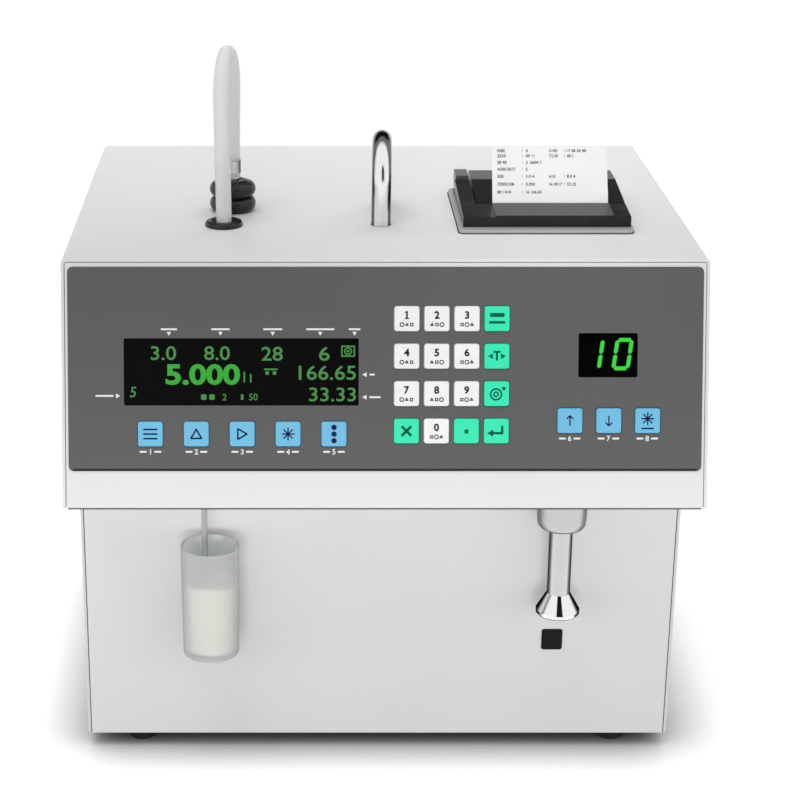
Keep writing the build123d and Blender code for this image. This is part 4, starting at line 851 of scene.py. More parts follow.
# %% Figures and stamps
def figures(text, x, up, height, width=None, weight=0, lean=0):
    """Figures scaled to a height and, if given, a width."""
    bpy.ops.object.text_add()
    mark = bpy.context.active_object
    mark.data.body = text
    mark.data.size = 1
    mark.data.offset = weight
    mark.data.shear = lean
    mark.data.resolution_u = 4
    bpy.ops.object.convert(target="MESH")
    low, high = Vector(mark.bound_box[0]), Vector(mark.bound_box[6])
    tall = height * mm / (high.y - low.y)
    wide = width * mm / (high.x - low.x) if width else tall
    halfway = (low + high) / 2
    size = Matrix.Diagonal((wide, tall, 1, 1))
    set_down(mark, Matrix.Translation((x * mm, up * mm, 0)) @ size @ Matrix.Translation(-halfway))
    return mark


def stamp(name, marks, place, body, slot, ink):
    """Joins flat marks, gives them the thickness of ink and sets them on a surface."""
    sign = join(marks)
    apply(sign, "SOLIDIFY", thickness=ink_height, offset=1)
    set_down(sign, place)
    return fit(sign, name, body, slot, ink)


# %% [markdown]
# The blue keys carry line signs in navy: bars, triangles, a star, dots and arrows. An arrow is a
# shaft with two short bars at its tip, and a star is four bars through one middle.

# %% Signs of the blue keys
def star(up=0, size=6, line=0.62):
    """A star of four bars through one middle."""
    return [bar(0, up, size, line, turn) for turn in (0, 45, 90, 135)]


def arrow(turn, up=0, length=4.8, line=0.62):
    """An arrow that points up, or another way when turned."""
    tip = length / 2
    wing = 2.2
    reach = wing * 0.35
    marks = [
        bar(0, 0, line, length),
        bar(-reach, tip - reach, line, wing, -45),
        bar(reach, tip - reach, line, wing, 45),
    ]
    whole = join(marks)
    set_down(whole, Matrix.Translation((0, up * mm, 0)) @ Matrix.Rotation(radians(turn), 4, "Z"))
    return whole


blue_signs = {
    "function_key_1": lambda: [bar(0, up, 6.6, 0.75) for up in (-2.15, 0, 2.15)],
    "function_key_2": lambda: [outline(0, -0.6, 3.6, 0.75, 3, 0, 0.8)],
    "function_key_3": lambda: [outline(-0.6, 0, 3.6, 0.75, 3, -90, 0.8)],
    "function_key_4": star,
    "function_key_5": lambda: [disc(0, up, 1.25) for up in (-3.1, 0, 3.1)],
    "stirrer_key_up": lambda: [arrow(0)],
    "stirrer_key_down": lambda: [arrow(180)],
    "stirrer_key_start": lambda: star(1) + [bar(0, -3.6, 5.6, 0.75)],
}
for key_name, draw in blue_signs.items():
    x, up = key_spots[key_name]
    stamp(key_name + "_sign", draw(), on_face(x, up, key_top + mark_lift), key_name, "blue_key", navy_ink)

# %% [markdown]
# The white keys have a black figure, with three small plain outlines under it. The order of the
# outlines changes from key to key.

# %% Signs of the white keys
mark_kinds = ((4, 45), (18, 0), (3, 0))


def small_marks(digit):
    """Three small outlines under a digit, in an order of its own."""
    marks = []
    for index in range(3):
        sides, turn = mark_kinds[(index + digit) % 3]
        marks.append(outline((index - 1) * 2.25, -2.75, 1.1, 0.44, sides, turn))
    return marks


for digit in range(10):
    key_name = f"number_key_{digit}"
    x, up = key_spots[key_name]
    marks = [figures(str(digit), 0, 1.7, 3.6, None, 0.035)] + small_marks(digit)
    if digit == 1:
        marks += [bar(0, 0.1, 2.1, 0.5), bar(-0.55, 3.05, 1.1, 0.5, 35)]
    stamp(key_name + "_sign", marks, on_face(x, up, key_top + mark_lift), key_name, "white_key", black_ink)

# %% [markdown]
# The green keys carry signs of their own: bars, arrows at a post, a ring with a dot, a return arrow,
# a cross and a square.

# %% Signs of the green keys
green_signs = {
    "side_key_1": lambda: [bar(0, 1.7, 6.8, 1.8), bar(0, -1.7, 7.4, 1.2)],
    "side_key_2": lambda: [
        bar(0, 0, 0.95, 4),
        bar(0, 2, 3.4, 0.9),
        disc(-2.6, 0, 1.5, 3, 90),
        disc(2.6, 0, 1.5, 3, -90),
    ],
    "side_key_3": lambda: [
        outline(-0.3, -0.3, 2.9, 0.75),
        outline(-0.3, -0.3, 1.35, 0.65, 16),
        disc(3.3, 2.4, 0.85),
    ],
    "side_key_4": lambda: [bar(0.4, -1, 5.6, 1.1), bar(2.7, 0.6, 1.1, 3.9), disc(-2.4, -1, 1.9, 3, 90)],
    "side_key_5": lambda: [bar(0, 0, 6.4, 1.25, 45), bar(0, 0, 6.4, 1.25, -45)],
    "side_key_6": lambda: [bar(0, -0.2, 1.9, 1.9)],
}
for key_name, draw in green_signs.items():
    x, up = key_spots[key_name]
    stamp(key_name + "_sign", draw(), on_face(x, up, key_top + mark_lift), key_name, "green_key", teal_ink)

# %% [markdown]
# White signs on the film stand where the eye looks for a caption: a number between two dashes under
# A dark line along the film's lower edge is painted shadow, the shade that the film's edge throws.
# The film's lower edge is printed with one dark line.

# %% White signs on the film
film_top = 0.5 * mm
caption_drop = 8.35


def caption(number, x, up):
    """A number between two dashes."""
    dashes = [bar(x + side * 3.4, up, 3.2, 0.85) for side in (-1, 1)]
    return [figures(str(number), x, up, 2.6, None, 0.03)] + dashes


blue_keys = [f"function_key_{index + 1}" for index in range(5)]
blue_keys += ["stirrer_key_up", "stirrer_key_down", "stirrer_key_start"]
captions = []
for number, key_name in enumerate(blue_keys, 1):
    x, up = key_spots[key_name]
    captions += caption(number, x / mm, up / mm - caption_drop)
stamp("key_captions", captions, on_face(0, 0, film_top + mark_lift), "case", "grey_overlay", white_ink)

film_low, film_width = 17.8, 294
# Painted shadow: a dark line under the film's lower edge.
edge_shadow = [bar(0, film_low + 0.6, film_width - 4, 1.1, 0, 0.45)]
stamp("film_edge_line", edge_shadow, on_face(0, 0, film_top + mark_lift), "case", "grey_overlay", film_shadow_ink)

# %% [markdown]
# The large window's middle and size are those of its hole in the key sheet. Pointers above it mark
# its five columns, and pointers beside it mark its rows.

# %% Pointers round the large window
window_x, window_up = -66.7, 64
window_w, window_h = 108.8, 31.2
column_shares = (-0.307, -0.088, 0.134, 0.336, 0.482)
column_widths = (7.5, 8.5, 8.8, 13, 5.4)
line = 0.85
pointers = []
for share, width in zip(column_shares, column_widths):
    x = window_x + share * window_w
    over = window_up + window_h / 2
    pointers += [bar(x, over + 4.2, width, line), disc(x, over + 2.4, 1.2, 3, 180)]
side_x = window_x + window_w / 2 + 3
for up, length in ((window_up - 1.2, 2.4), (window_up - 11.7, 5.2)):
    pointers += [disc(side_x, up, 1.3, 3, 90), bar(side_x + 2 + length / 2, up, length, line)]
left_x = window_x - window_w / 2 - 3
pointers += [disc(left_x, window_up - 11.1, 1.3, 3, -90), bar(left_x - 6, window_up - 11.1, 8.4, line)]
stamp("window_pointers", pointers, on_face(0, 0, film_top + mark_lift), "case", "grey_overlay", white_ink)

# %% [markdown]
# The windows are softened copies too. How far their panes stand out is measured from the mesh,
# because the lit figures are laid on them.

# %% Window panes
panes = softened("display_windows", 0.15 * mm, 1)
pane_top = max((v.co - face_zero).dot(face_out) for v in panes.data.vertices)
fit(panes, "window_panes", "case", "dark_lens", window_black, "display_windows")
print("panes stand", round(pane_top / mm, 2), "mm over the face")

# %% [markdown]
# The rows of readings share one green, and the large reading has a brighter one. All of them lie on
# the pane, in millimetres from its middle.

# %% Lit figures
window_place = on_face(window_x * mm, window_up * mm, pane_top + mark_lift)
readings = [
    figures("3.0", -36, 8.7, 6.5, 11.7, 0.008),
    figures("8.0", -11.2, 8.7, 6.5, 11.9, 0.008),
    figures("28", 14.3, 8.4, 6.5, 9.8, 0.008),
    figures("6", 38.5, 8.4, 6.5, 4.9, 0.008),
    figures("166.65", 39.9, -0.4, 6.7, 26.5, 0.008),
    figures("33.33", 42.3, -10.5, 6.5, 21.7, 0.008),
]
small_readings = [
    figures("5", -50.2, -9.4, 4.9, 3.1, 0.006, 0.15),
    figures("2", -7.8, -11.7, 3.1, None, 0.006),
    figures("50", 5.6, -11.7, 3.1, None, 0.006),
    bar(-17.4, -11.7, 2.6, 2.6),
    bar(-13.6, -11.7, 2.6, 2.6),
    bar(0.4, -11.7, 1.2, 2.6),
    bar(1.4, -2.4, 0.7, 5),
    bar(4.4, -2.9, 0.7, 4),
    bar(13.7, 1.2, 6.4, 0.7),
    bar(12, -0.5, 1.7, 1.7),
    bar(15.4, -0.5, 1.7, 1.7),
]
frame_marks = [bar(49.5, 9.6 + side * 2.3, 6.4, 0.65) for side in (-1, 1)]
frame_marks += [bar(49.5 + side * 2.9, 9.6, 0.65, 5.2) for side in (-1, 1)]
frame_marks += [outline(49.5, 9.6, 1.9, 0.6, 16), disc(49.5, 9.6, 0.7, 12)]
stamp("display_rows", readings + small_readings + frame_marks, window_place, "case", "dark_lens", row_green)
large = [figures("5.000", -17.8, -1.2, 9.8, 34.5, 0.034)]
stamp("display_large", large, window_place, "case", "dark_lens", large_green)

# %% [markdown]
# The timer has two digits of seven bars each. A bar is a plane whose four corners are cut off, so
# that its ends are pointed, and the digit leans a few degrees. Only the bars that glow are made.

# %% Timer digits
timer_x, timer_up = 103.1, 71.75
digit_w, digit_h = 6.6, 13.2
digit_pitch = 13.35
stroke = 1.85
lean_share = 0.14
bar_places = {
    "top": (0, digit_h / 2, 0),
    "top_right": (digit_w / 2, digit_h / 4, 90),
    "low_right": (digit_w / 2, -digit_h / 4, 90),
    "bottom": (0, -digit_h / 2, 0),
    "low_left": (-digit_w / 2, -digit_h / 4, 90),
    "top_left": (-digit_w / 2, digit_h / 4, 90),
}
lit_bars = {0: ("top_right", "low_right"), 1: tuple(bar_places)}


def digit_bar(x, up, turn):
    """A bar with pointed ends."""
    length = digit_w - 0.5 if turn == 0 else digit_h / 2 - 0.5
    bpy.ops.mesh.primitive_plane_add(size=1)
    mark = bpy.context.active_object
    mark.scale = (length * mm, stroke * mm, 1)
    bpy.ops.object.transform_apply(scale=True)
    with shaping(mark):
        bpy.ops.mesh.bevel(offset=stroke * 0.36 * mm, segments=1, affect="VERTICES")
    set_down(mark, Matrix.Translation((x * mm, up * mm, 0)) @ Matrix.Rotation(radians(turn), 4, "Z"))
    return mark


digit_bars = []
for place, names in lit_bars.items():
    for name in names:
        x, up, turn = bar_places[name]
        digit_bars.append(digit_bar(x + (place - 0.5) * digit_pitch, up, turn))
digits = join(digit_bars)
digits.data.transform(Matrix(((1, lean_share, 0, 0), (0, 1, 0, 0), (0, 0, 1, 0), (0, 0, 0, 1))))
timer_place = on_face((timer_x + 0.12) * mm, (timer_up + 0.5) * mm, pane_top + mark_lift)
stamp("timer_digits", [digits], timer_place, "case", "dark_lens", timer_green)

# %% [markdown]
# The sample cup is thin frosted plastic with a thick foot. It is turned from its profile, outside
# up, over the rim and down inside, and its corners are rounded. The shoe on its back is what
# slides on the rail, so it rides on the cup's body.

# %% Sample cup
cup_low, cup_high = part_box("sample_cup")
cup_x, cup_y, _ = middle("milk")
rim_r = 14.15 * mm
foot_r = 13.5 * mm
cup_wall = 1.3 * mm
cup_floor = 3 * mm
cup_bottom = cup_low.z
cup_rim = cup_high.z
sides_of_cup = 96

cup = turned((cup_x, cup_y), [
    (foot_r - 2.4 * mm, cup_bottom + 0.5 * mm),
    (foot_r - 1.9 * mm, cup_bottom),
    (foot_r - 0.3 * mm, cup_bottom),
    (foot_r, cup_bottom + 0.5 * mm),
    (rim_r - 0.1 * mm, cup_rim - 2 * mm),
    (rim_r, cup_rim - 1.6 * mm),
    (rim_r, cup_rim),
    (rim_r - cup_wall, cup_rim),
    (foot_r - cup_wall, cup_bottom + cup_floor),
], sides_of_cup)
apply(cup, "BEVEL", width=0.35 * mm, segments=2, limit_method="ANGLE", angle_limit=radians(25))
smooth(cup)
fit(cup, "cup", "cup", "clear_cup", frosted_plastic)

# %% [markdown]
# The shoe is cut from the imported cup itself: a welded copy loses every face in front of a plane
# between cup and shoe, and the hole that the bisect leaves is filled.

# %% Shoe of the cup
shoe_front = cup_y + foot_r - cup_wall / 2
shoe_low_z = 96.5 * mm
shoe = welded_copy("sample_cup")
with shaping(shoe):
    bpy.ops.mesh.bisect(plane_co=(0, shoe_front, 0), plane_no=(0, 1, 0), use_fill=True, clear_inner=True)
with shaping(shoe):
    pick(shoe, "FACE", lambda face: face.calc_center_median().z < shoe_low_z)
    bpy.ops.mesh.delete(type="FACE")
    pick(shoe, "VERT", lambda corner: not corner.link_faces)
    bpy.ops.mesh.delete(type="VERT")
round_edges(shoe, 0.2 * mm, 1)
fit(shoe, "cup_shoe", "cup", "clear_cup", shoe_plastic, "sample_cup")

# %% [markdown]
# The milk fills the cup up to a line below the rim and creeps up a little at the wall, as liquids
# do. The inlet tube dips into it.

# %% Milk
milk_low, milk_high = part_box("milk")
milk_low_r = foot_r - cup_wall - 0.1 * mm
milk_top_r = (milk_high.x - milk_low.x) / 2
creep = 0.5 * mm
milk = turned((cup_x, cup_y), [
    (milk_low_r - 0.6 * mm, milk_low.z),
    (milk_low_r, milk_low.z + 0.6 * mm),
    (milk_top_r, milk_high.z),
    (milk_top_r - 0.3 * mm, milk_high.z),
    (milk_top_r - 1.3 * mm, milk_high.z - creep * 0.7),
    (milk_top_r - 2.6 * mm, milk_high.z - creep),
    (3.2 * mm, milk_high.z - creep),
], sides_of_cup)
smooth(milk)
fit(milk, "milk_sample", "cup", "milk_white", fresh_milk, "milk")

# %% [markdown]
# The inlet tube is a thin steel tube that rises from the milk into the head and bends back to the
# measuring cell. It is drawn again with smooth bends, and its collar is a hexagon with soft edges.

# %% Inlet tube
tube_x = -85.1 * mm
tube_r = 1.4 * mm
tube_wall = 0.6 * mm
tube_low, tube_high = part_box("inlet_tube")
tube_turn_z = 168 * mm
tube_bend = 8 * mm
tube_corners = [
    Vector((tube_x, cup_y, tube_low.z)),
    Vector((tube_x, cup_y, tube_turn_z)),
    Vector((tube_x, tube_high.y, tube_turn_z)),
]
inlet = bent_tube(tube_corners, [tube_bend], tube_r, tube_wall, 20)
collar_h, nut_r = 5 * mm, 4.5 * mm
collar_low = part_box("front_fascia")[0].z + 1.6 * mm
collar_place = (tube_x, cup_y, collar_low + collar_h / 2)
bpy.ops.mesh.primitive_cylinder_add(vertices=6, radius=nut_r, depth=collar_h, location=collar_place)
collar = bpy.context.active_object
set_down(collar, collar.matrix_world)
round_edges(collar, 0.3 * mm)
inlet = join([collar, inlet])
fit(inlet, "inlet_pipe", "case", "steel", tube_steel, "inlet_tube")

# %% [markdown]
# The outlet is a gooseneck of polished pipe. It rises from the manifold, turns over in one round
# bend and ends open, a little above the hood, where a tube can be pushed on.

# %% Outlet pipe
pipe_r = 4.75 * mm
pipe_wall = 0.85 * mm
pipe_bend = 18 * mm
pipe_turn = radians(2.4)
pipe_low, pipe_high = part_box("outlet_pipe")
pipe_x, pipe_y = 0.25 * mm, -38.348 * mm
pipe_mouth = 272 * mm
pipe_ahead = Vector((sin(pipe_turn), cos(pipe_turn), 0))
pipe_foot = Vector((pipe_x, pipe_y, pipe_low.z))
pipe_top = pipe_high.z - pipe_r
rise = Vector((0, 0, pipe_top - pipe_low.z))
corners = [pipe_foot, pipe_foot + rise, pipe_foot + rise + pipe_ahead * 2 * pipe_bend]
corners.append(Vector((corners[2].x, corners[2].y, pipe_mouth)))
outlet = bent_tube(corners, [pipe_bend, pipe_bend], pipe_r, pipe_wall, 48, radians(5))
fit(outlet, "outlet_gooseneck", "case", "chrome", satin_chrome, "outlet_pipe")

# %% [markdown]
# The clear hose comes up out of the pump, arches over and is pushed down on a steel stub. Both its
# ends are held, so it keeps one route: a long lean, a tight arch, and a short way down.

# %% Loop hose
hose_r = 3.8 * mm
hose_wall = 1.2 * mm
flat_r = 9.3 * mm
roll_r = 11.5 * mm
rubber_low, rubber_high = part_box("hose_grommets")
hose_front = Vector((rubber_low.x + flat_r, rubber_low.y + flat_r, 0))
hose_rear = Vector((rubber_high.x - roll_r, rubber_high.y - roll_r, 0))
hose_low, hose_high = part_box("loop_hose")
hose_top = hose_high.z - hose_r
hose_end = 278.5 * mm
hose_way = (hose_rear - hose_front).normalized()
hose_mid = (hose_front + hose_rear) / 2


def over_hood(along, height):
    """A place over the line between the hose's two ends."""
    return hose_mid + hose_way * along + Vector((0, 0, height))


half_span = (hose_rear - hose_front).length / 2
hose_corners = [
    over_hood(-half_span, hose_low.z),
    over_hood(-half_span, 266 * mm),
    over_hood(-21.13 * mm, hose_top),
    over_hood(21.94 * mm, hose_top),
    over_hood(half_span, 290 * mm),
    over_hood(half_span, hose_end),
]
hose_bends = [100 * mm, 19.3 * mm, 19.3 * mm, 60 * mm]
hose = bent_tube(hose_corners, hose_bends, hose_r, hose_wall, 40, radians(4))
fit(hose, "hose_loop", "case", "clear_hose", soft_hose, "loop_hose")

# %% [markdown]
# A thin steel band holds the hose on its stub. It is a short cylinder without its two ends, given
# the thickness of sheet.

# %% Hose clamp
clamp_low, clamp_high = hose_end + 2.6 * mm, hose_end + 9 * mm
clamp_r = hose_r + 0.3 * mm
clamp_t = 0.25 * mm
clamp_place = (hose_rear.x, hose_rear.y, (clamp_low + clamp_high) / 2)
bpy.ops.mesh.primitive_cylinder_add(
    vertices=48, radius=clamp_r, depth=clamp_high - clamp_low, location=clamp_place)
clamp = bpy.context.active_object
set_down(clamp, clamp.matrix_world)
with shaping(clamp):
    pick(clamp, "FACE", lambda face: len(face.verts) > 4)
    bpy.ops.mesh.delete(type="FACE")
apply(clamp, "SOLIDIFY", thickness=clamp_t, offset=-1)
round_edges(clamp, 0.08 * mm)
fit(clamp, "hose_clamp", "case", "steel", brushed_steel)

# %% [markdown]
# Two black rubber grommets close the holes that the hose goes through. The front one is a flat
# collar, and the rear one is a bellows of two rolls, each of which is half an ellipse in profile.

# %% Flat grommet
hood_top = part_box("hood")[1].z
flat_h = 2.4 * mm
bore_r = hose_r + 0.1 * mm
stub_r = 2.5 * mm
lip = 1.5 * mm
plug_low, plug_high = hood_top - 3.1 * mm, hood_top - 1.6 * mm
flat_grommet = turned((hose_front.x, hose_front.y), [
    (bore_r, plug_low),
    (flat_r - lip, plug_low),
    (flat_r - lip, plug_high),
    (6.2 * mm, plug_high),
    (6.2 * mm, hood_top + 0.05 * mm),
    (flat_r - 0.1 * mm, hood_top + 0.05 * mm),
    (flat_r, hood_top + 0.4 * mm),
    (flat_r - 0.2 * mm, hood_top + flat_h - 0.9 * mm),
    (flat_r - 0.6 * mm, hood_top + flat_h - 0.3 * mm),
    (flat_r - 1.3 * mm, hood_top + flat_h),
    (bore_r + 0.6 * mm, hood_top + flat_h),
    (bore_r, hood_top + flat_h - 0.3 * mm),
])

# %% Bellows
core_r = 8.5 * mm
bulge, half_roll = roll_r - core_r, 3.6 * mm
bellows_h = 15.6 * mm
roll_middles = (3.75 * mm, 11.1 * mm)
steps_per_roll = 10
bellows_rings = [(stub_r + 0.1 * mm, plug_low), (roll_r - lip, plug_low)]
bellows_rings += [(roll_r - lip, plug_high), (core_r, plug_high)]
for roll_middle in roll_middles:
    for step in range(steps_per_roll + 1):
        angle = pi * (step / steps_per_roll - 0.5)
        bellows_rings.append((core_r + bulge * cos(angle), hood_top + roll_middle + half_roll * sin(angle)))
bellows_rings += [(6.5 * mm, hood_top + bellows_h), (stub_r + 2 * mm, hood_top + bellows_h)]
bellows_rings += [(stub_r + 0.1 * mm, hood_top + bellows_h - 0.8 * mm)]
bellows = turned((hose_rear.x, hose_rear.y), bellows_rings)

# %% [markdown]
# A turned part is closed at both ends. For a bore its two end faces are taken out and the open rims
# are bridged, which makes the wall of the bore.

# %% Bores of the grommets
def open_bore(piece):
    """Opens the two ends of a turned part and joins them by the wall of its bore."""
    with shaping(piece):
        pick(piece, "FACE", lambda face: len(face.verts) > 4)
        bpy.ops.mesh.delete(type="FACE")
        pick(piece, "EDGE", lambda edge: edge.is_boundary)
        bpy.ops.mesh.bridge_edge_loops()
        bpy.ops.mesh.select_all(action="SELECT")
        bpy.ops.mesh.normals_make_consistent(inside=False)
    smooth(piece)


open_bore(flat_grommet)
open_bore(bellows)
grommets = join([flat_grommet, bellows])
fit(grommets, "rubber_grommets", "case", "black_rubber", hose_rubber, "hose_grommets")

# %% [markdown]
# The stirrer hangs under the head. Its boss is painted and tapers in with a soft corner, and it is
# turned with an open bore for the shaft.

# %% Stirrer boss
horn_x, horn_y, _ = middle("stirrer_horn")
boss_low, boss_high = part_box("stirrer_boss")
boss_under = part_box("front_fascia")[0].z - 0.1 * mm
boss_r = (boss_high.x - boss_low.x) / 2
shaft_r = 5.55 * mm
collar_r = 7.9 * mm
boss = turned((horn_x, horn_y), [
    (shaft_r + 0.1 * mm, boss_low.z),
    (boss_r - 2.6 * mm, boss_low.z),
    (boss_r - 1.5 * mm, boss_low.z + 0.5 * mm),
    (boss_r - 0.6 * mm, boss_low.z + 1.7 * mm),
    (boss_r - 0.2 * mm, boss_low.z + 4.4 * mm),
    (boss_r, boss_under - 0.5 * mm),
    (boss_r, boss_under),
    (collar_r, boss_under),
    (collar_r, boss_high.z),
    (shaft_r + 0.1 * mm, boss_high.z),
], 72)
open_bore(boss)
fit(boss, "boss", "case", "case_paint", boss_coat, "stirrer_boss")

# %% [markdown]
# The horn is a brushed shaft and a polished cone that sends the sound into the sample. They are two
# turned pieces, because their finishes differ.

# %% Stirrer horn
horn_low, horn_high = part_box("stirrer_horn")
cone_r = (horn_high.x - horn_low.x) / 2
cone_top = horn_low.z + 10.9 * mm
shaft = turned((horn_x, horn_y), [(shaft_r, cone_top + 0.02 * mm), (shaft_r, horn_high.z)], 72)
smooth(shaft)
cone = turned((horn_x, horn_y), [
    (2 * mm, horn_low.z + 0.8 * mm),
    (cone_r - 1.6 * mm, horn_low.z + 0.3 * mm),
    (cone_r - 1 * mm, horn_low.z),
    (cone_r - 0.4 * mm, horn_low.z + 0.1 * mm),
    (cone_r, horn_low.z + 0.6 * mm),
    (cone_r, horn_low.z + 2.2 * mm),
    (cone_r - 0.3 * mm, horn_low.z + 2.7 * mm),
    (shaft_r + 0.15 * mm, cone_top - 0.2 * mm),
    (shaft_r, cone_top),
], 96)
smooth(cone)
fit(shaft, "horn_shaft", "case", "chrome", brushed_steel)
fit(cone, "horn_cone", "case", "chrome", bright_chrome, "stirrer_horn")

# %% [markdown]
# A black square sensor looks out of the lower panel and sees whether a beaker stands there. It is
# plain dark plastic, and the light it sends out and takes in goes through the plastic itself.

# %% Cup sensor
fit(softened("cup_sensor", 0.25 * mm), "sensor_head", "case", "black_plastic", sensor_black, "cup_sensor")

# %% [markdown]
# The printer sits in a grey flange on a thin, nearly black gasket, which shows as a fine line round
# it and also paints the shade at the flange's foot. Its frame and release lever are mouldings with
# larger rounds than the sheets have, and their gloss makes the rounds show.

# %% Printer mouldings
flange_low, flange_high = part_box("printer_flange")
flange_middle = (flange_low + flange_high) / 2
flange_size = flange_high - flange_low
gasket_rim = 0.35 * mm
gasket_t = 0.35 * mm
gasket_corner = 3.3 * mm
bpy.ops.mesh.primitive_cube_add(size=1)
gasket = bpy.context.active_object
gasket.scale = (flange_size.x + 2 * gasket_rim, flange_size.y + 2 * gasket_rim, gasket_t)
bpy.ops.object.transform_apply(scale=True)
with shaping(gasket):
    pick(gasket, "EDGE", lambda edge: abs(edge.verts[0].co.z - edge.verts[1].co.z) > gasket_t / 2)
    bpy.ops.mesh.bevel(offset=gasket_corner, segments=6, affect="EDGES")
gasket_z = hood_top + gasket_t / 2 + mark_lift
set_down(gasket, Matrix.Translation((flange_middle.x, flange_middle.y, gasket_z)))
smooth(gasket)
# The near-black gasket is a gasket and painted shade at the flange's foot.
fit(gasket, "flange_gasket", "case", "black_rubber", gap_shade_black)

flange = softened("printer_flange", 0.3 * mm)
fit(flange, "flange", "case", "flange_grey", flange_coat, "printer_flange")
printer_body = softened("printer_frame", 0.35 * mm, 3)
fit(printer_body, "printer_body", "case", "black_plastic", printer_black, "printer_frame")
release_tab = softened("release_lever", 0.5 * mm, 3)
fit(release_tab, "release_tab", "lever", "black_plastic", lever_black, "release_lever")
print("gasket shows", round(gasket_rim / mm, 2), "mm round the flange")

# %% [markdown]
# The lid over the paper roll is flat at the back and slopes down to the slot in front. The packed
# part has one slope, so the copy is cut across once, and the cut is raised to make the fold.

# %% Printer lid
lid_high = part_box("printer_lid")[1]
lid_fold_y = 4.2 * mm
lid = welded_copy("printer_lid")


def is_lid_crest(corner):
    """Tells the corners of the cut across the lid's outer face."""
    return abs(corner.co.y - lid_fold_y) < weld and corner.co.z > lid_high.z - 3 * mm


with shaping(lid):
    bpy.ops.mesh.bisect(plane_co=(0, lid_fold_y, 0), plane_no=(0, 1, 0))
    pick(lid, "VERT", is_lid_crest)
    bpy.ops.mesh.mark_sharp(use_verts=True)
for corner in lid.data.vertices:
    if is_lid_crest(corner):
        corner.co.z = lid_high.z - 0.01 * mm
round_edges(lid, 0.35 * mm, 3)
fit(lid, "printer_cover", "lid", "black_plastic", printer_black, "printer_lid")

# %% [markdown]
# In front of the slot lies a satin plate on which the paper is torn. It is one box, laid on the
# frame's slope, with its corners cut and its edges rounded.

# %% Tear plate
body_front = -51.74 * mm
front_top = 269 * mm
body_slope = 0.0664
slot_front = -31 * mm
paper_x = 83.7 * mm
plate_w = 57.4 * mm
plate_t = 0.4 * mm
plate_front = body_front + 1.2 * mm
plate_back = slot_front - 0.5 * mm
bpy.ops.mesh.primitive_cube_add(size=1)
tear_plate = bpy.context.active_object
tear_plate.scale = (plate_w, plate_back - plate_front, plate_t)
bpy.ops.object.transform_apply(scale=True)
with shaping(tear_plate):
    pick(tear_plate, "EDGE", lambda edge: abs(edge.verts[0].co.z - edge.verts[1].co.z) > plate_t / 2)
    bpy.ops.mesh.bevel(offset=1.2 * mm, segments=3, affect="EDGES")
round_edges(tear_plate, 0.12 * mm)
plate_middle_y = (plate_front + plate_back) / 2
plate_z = front_top + body_slope * (plate_middle_y - body_front) + plate_t / 2 + mark_lift
slope_turn = Matrix.Rotation(body_slope, 4, "X")
set_down(tear_plate, Matrix.Translation((paper_x, plate_middle_y, plate_z)) @ slope_turn)
fit(tear_plate, "tear_plate", "case", "black_plastic", plate_black)

# %% [markdown]
# Receipt paper is a thin strip from the roll, round the roller and out of the slot. One edge of
# it is extruded along that route: straight pushes, and spins round the roller and the lean.

# %% Paper strip
strip_low, strip_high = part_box("paper_strip")
paper_w = strip_high.x - strip_low.x
_, platen_y, platen_z = middle("platen_roller")
nip_r = 4.55 * mm
nip_y = platen_y - nip_r
_, roll_y, roll_z = middle("paper_roll")
paper_lean = radians(23)
lean_r = 9 * mm
lean_z = 268 * mm
strip_t = 0.09 * mm
straight_parts, free_parts = 3, 12

way_down = Vector((0, roll_y - platen_y, roll_z - platen_z))
over_r = 17.15 * mm
cross = Vector((0, way_down.z, -way_down.y)).normalized()
inner_share = (nip_r + over_r) / way_down.length
side_share = (1 - inner_share**2) ** 0.5
away = way_down.normalized() * inner_share + cross * side_share
nip_start = Vector((paper_x, platen_y, platen_z)) + away * nip_r
roll_leave = Vector((paper_x, roll_y, roll_z)) - away * over_r
print("strip leaves the roll at", [round(c / mm, 1) for c in roll_leave], "and meets the roller at",
      [round(c / mm, 1) for c in nip_start])

# %% [markdown]
# The strip starts as one edge at the roll. Each push and each spin leaves a row of faces behind it,
# in the order in which the paper runs through the printer.

# %% Paper shape
bpy.ops.mesh.primitive_plane_add(size=1)
strip = bpy.context.active_object
with shaping(strip):
    pick(strip, "VERT", lambda corner: corner.co.y > 0)
    bpy.ops.mesh.delete(type="VERT")
strip.data.vertices[0].co = roll_leave - Vector((paper_w / 2, 0, 0))
strip.data.vertices[1].co = roll_leave + Vector((paper_w / 2, 0, 0))
with shaping(strip):
    bpy.ops.mesh.select_mode(type="EDGE")
    bpy.ops.mesh.select_all(action="SELECT")
    bpy.ops.mesh.extrude_edges_move(TRANSFORM_OT_translate={"value": nip_start - roll_leave})
    roller_middle = Vector((paper_x, platen_y, platen_z))
    wrap = (nip_start - roller_middle).angle(Vector((0, -1, 0)))
    bpy.ops.mesh.spin(steps=8, angle=wrap, center=roller_middle, axis=(1, 0, 0))
    straight = (lean_z - platen_z) / straight_parts
    for part in range(straight_parts):
        bpy.ops.mesh.extrude_edges_move(TRANSFORM_OT_translate={"value": (0, 0, straight)})
    bpy.ops.mesh.spin(steps=6, angle=paper_lean, center=(paper_x, nip_y + lean_r, lean_z), axis=(1, 0, 0))
    lean_top = lean_z + lean_r * sin(paper_lean)
    free_run = (strip_high.z - lean_top) / cos(paper_lean)
    push = Vector((0, sin(paper_lean), cos(paper_lean))) * (free_run / free_parts)
    for part in range(free_parts):
        bpy.ops.mesh.extrude_edges_move(TRANSFORM_OT_translate={"value": push})
strip_points = [v.co.copy() for v in strip.data.vertices]
print("strip reaches", round(max(p.z for p in strip_points) / mm, 1), "mm high, front",
      round(min(p.y for p in strip_points) / mm, 2))

